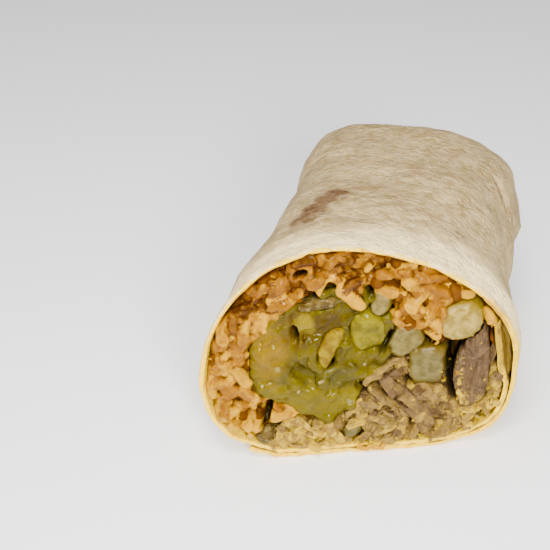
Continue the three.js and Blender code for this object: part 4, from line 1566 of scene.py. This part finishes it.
# %% Fill the pocket with painted shade
# These colours are painted shade for the pocket.
POCKET_SHADE_DARK = (0.085, 0.045, 0.003)
POCKET_SHADE_PALE = (0.14, 0.082, 0.008)
POCKET_SHADE_PLACES = ((36.0, 30.5, 105), (37.1, 25.0, 97), (36.9, 20.0, 84))
pocket_shade_finish = finish(
    "painted_shade",
    colour=lambda place: place.noise(2.5).ramp(0.3, 0.7).colours(POCKET_SHADE_DARK, POCKET_SHADE_PALE),
    rough=patchy(2, 0.2, 0.2),
    height=grainy(1.5, 3),
    depth=0.2,
    base=wet(0.3, 1.0),
)
painted_shade = Scatter([spindle(14, 12, 0.6, 98, bend=0.06, rough=0.2)], 99)
for s, z, angle in POCKET_SHADE_PLACES:
    lay_one(painted_shade, s, z, 3.4, (11, 3.0, 2.7), angle, 0.5)
painted_shade.piece("pocket_shade", pocket_shade_finish, "tortilla")

# %% [markdown]
# ## Crumbs
# A knife through soft food drags crumbs with it: bits of rice on the salsa, flecks of meat and potato at
# the sides of the crevice, and a trail of them along the lower edge. Each is a tiny ragged spindle dropped
# on whatever shows at its place, in the colour of the food beside it. They are kept few and dull, since
# many bright ones look like sesame.

# %% Finish the crumbs
CRUMB_TONES = {"rice": 0.1, "pulled_pork": 0.6, "pork_chunk": 0.6, "green_salsa": 0.9}
CRUMB_SHARES = {"rice": 1.0, "pulled_pork": 1.0, "pork_chunk": 0.6}
CRUMB_TRAILS = (
    ((23.4, 28.6), (22.4, 15.5), 16),
    ((24.6, 26.5), (24.4, 13.5), 8),
    ((26.0, 12.0), (35.5, 9.0), 16),
    ((31.5, 20.0), (36.0, 13.0), 12),
    ((21.0, 37.5), (32.0, 41.5), 14),
    ((-22.0, 5.6), (18.0, 3.8), 30),
    ((-33.0, 20.0), (-27.0, 7.0), 12),
)


def crumb_colour(place):
    tone = place.attribute("tone")
    warm = tone.ramp(0.0, 0.5).colours((0.26, 0.11, 0.0005), (0.34, 0.21, 0.005))
    return tone.ramp(0.5, 1.0).colours(warm, (0.20, 0.14, 0.015))


crumb_finish = finish(
    "crumbs",
    colour=crumb_colour,
    rough=patchy(1, 0.3, 0.35),
    height=grainy(0.5, 4),
    depth=0.15,
    base=flesh(0.3, (1.0, 0.6, 0.2), 0.6) | sheen_of(0.6, (1.0, 0.7, 0.2)),
)


# %% Drop the crumbs
def crumb_places(draw, scattered=90):
    """Places along the trails, and others anywhere on the cut."""
    places = []
    for start, end, count in CRUMB_TRAILS:
        for share in draw.random(count):
            places.append(np.add(start, share * np.subtract(end, start)) + draw.normal(0, 0.7, 2))
    places += [draw.uniform((-34, 4), (36, 52)) for _ in range(scattered)]
    return places


CRUMBED = ["rice_core", "rice_grains", "pork_core", "pork_shreds", "pork_chunk_meat", "salsa"]
CRUMBED += ["green_pepper_flesh"] + [f"potato_piece_{number}" for number in DRYNESS]
dressed_tree, _ = surface_of([bpy.data.objects[name] for name in CRUMBED])
crumbs = Scatter([spindle(6, 8, 0.5, 95 + k, ridge=0.3, rough=0.5) for k in range(4)], 96)
crumb_draw = np.random.default_rng(97)
for s, z in crumb_places(crumb_draw):
    node = shows_at(s, z)[0]
    depth = first_hit(dressed_tree, s, z)[1]
    keep = crumb_draw.random() < CRUMB_SHARES.get(node, 0.15)
    size, angle, jitter = crumb_draw.uniform(0.4, 1.3), crumb_draw.uniform(0, 180), crumb_draw.normal(0, 0.2)
    if node and keep and depth < 2.5:
        tone = CRUMB_TONES.get(node, 0.85) + jitter
        lay_one(crumbs, s, z, depth - 0.05, (size, size * 0.5, size * 0.5), angle, tone)
crumbs.piece("crumbs", crumb_finish, "rice", warps=((0.7, 0.12),))

# %% [markdown]
# ## Last look
# Both boxes, the solids' and the dressed burrito's, are printed in mm. The dressed burrito may stand
# only a little outside the solids' box.

# %% Measure and finish
dressed_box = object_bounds()
boxes = {"solid": [list(c) for c in solid_box], "dressed": [list(c) for c in dressed_box]}
for name, (low, high) in boxes.items():
    print(name, [round((b - a) / MM, 1) for a, b in zip(low, high)], "mm")
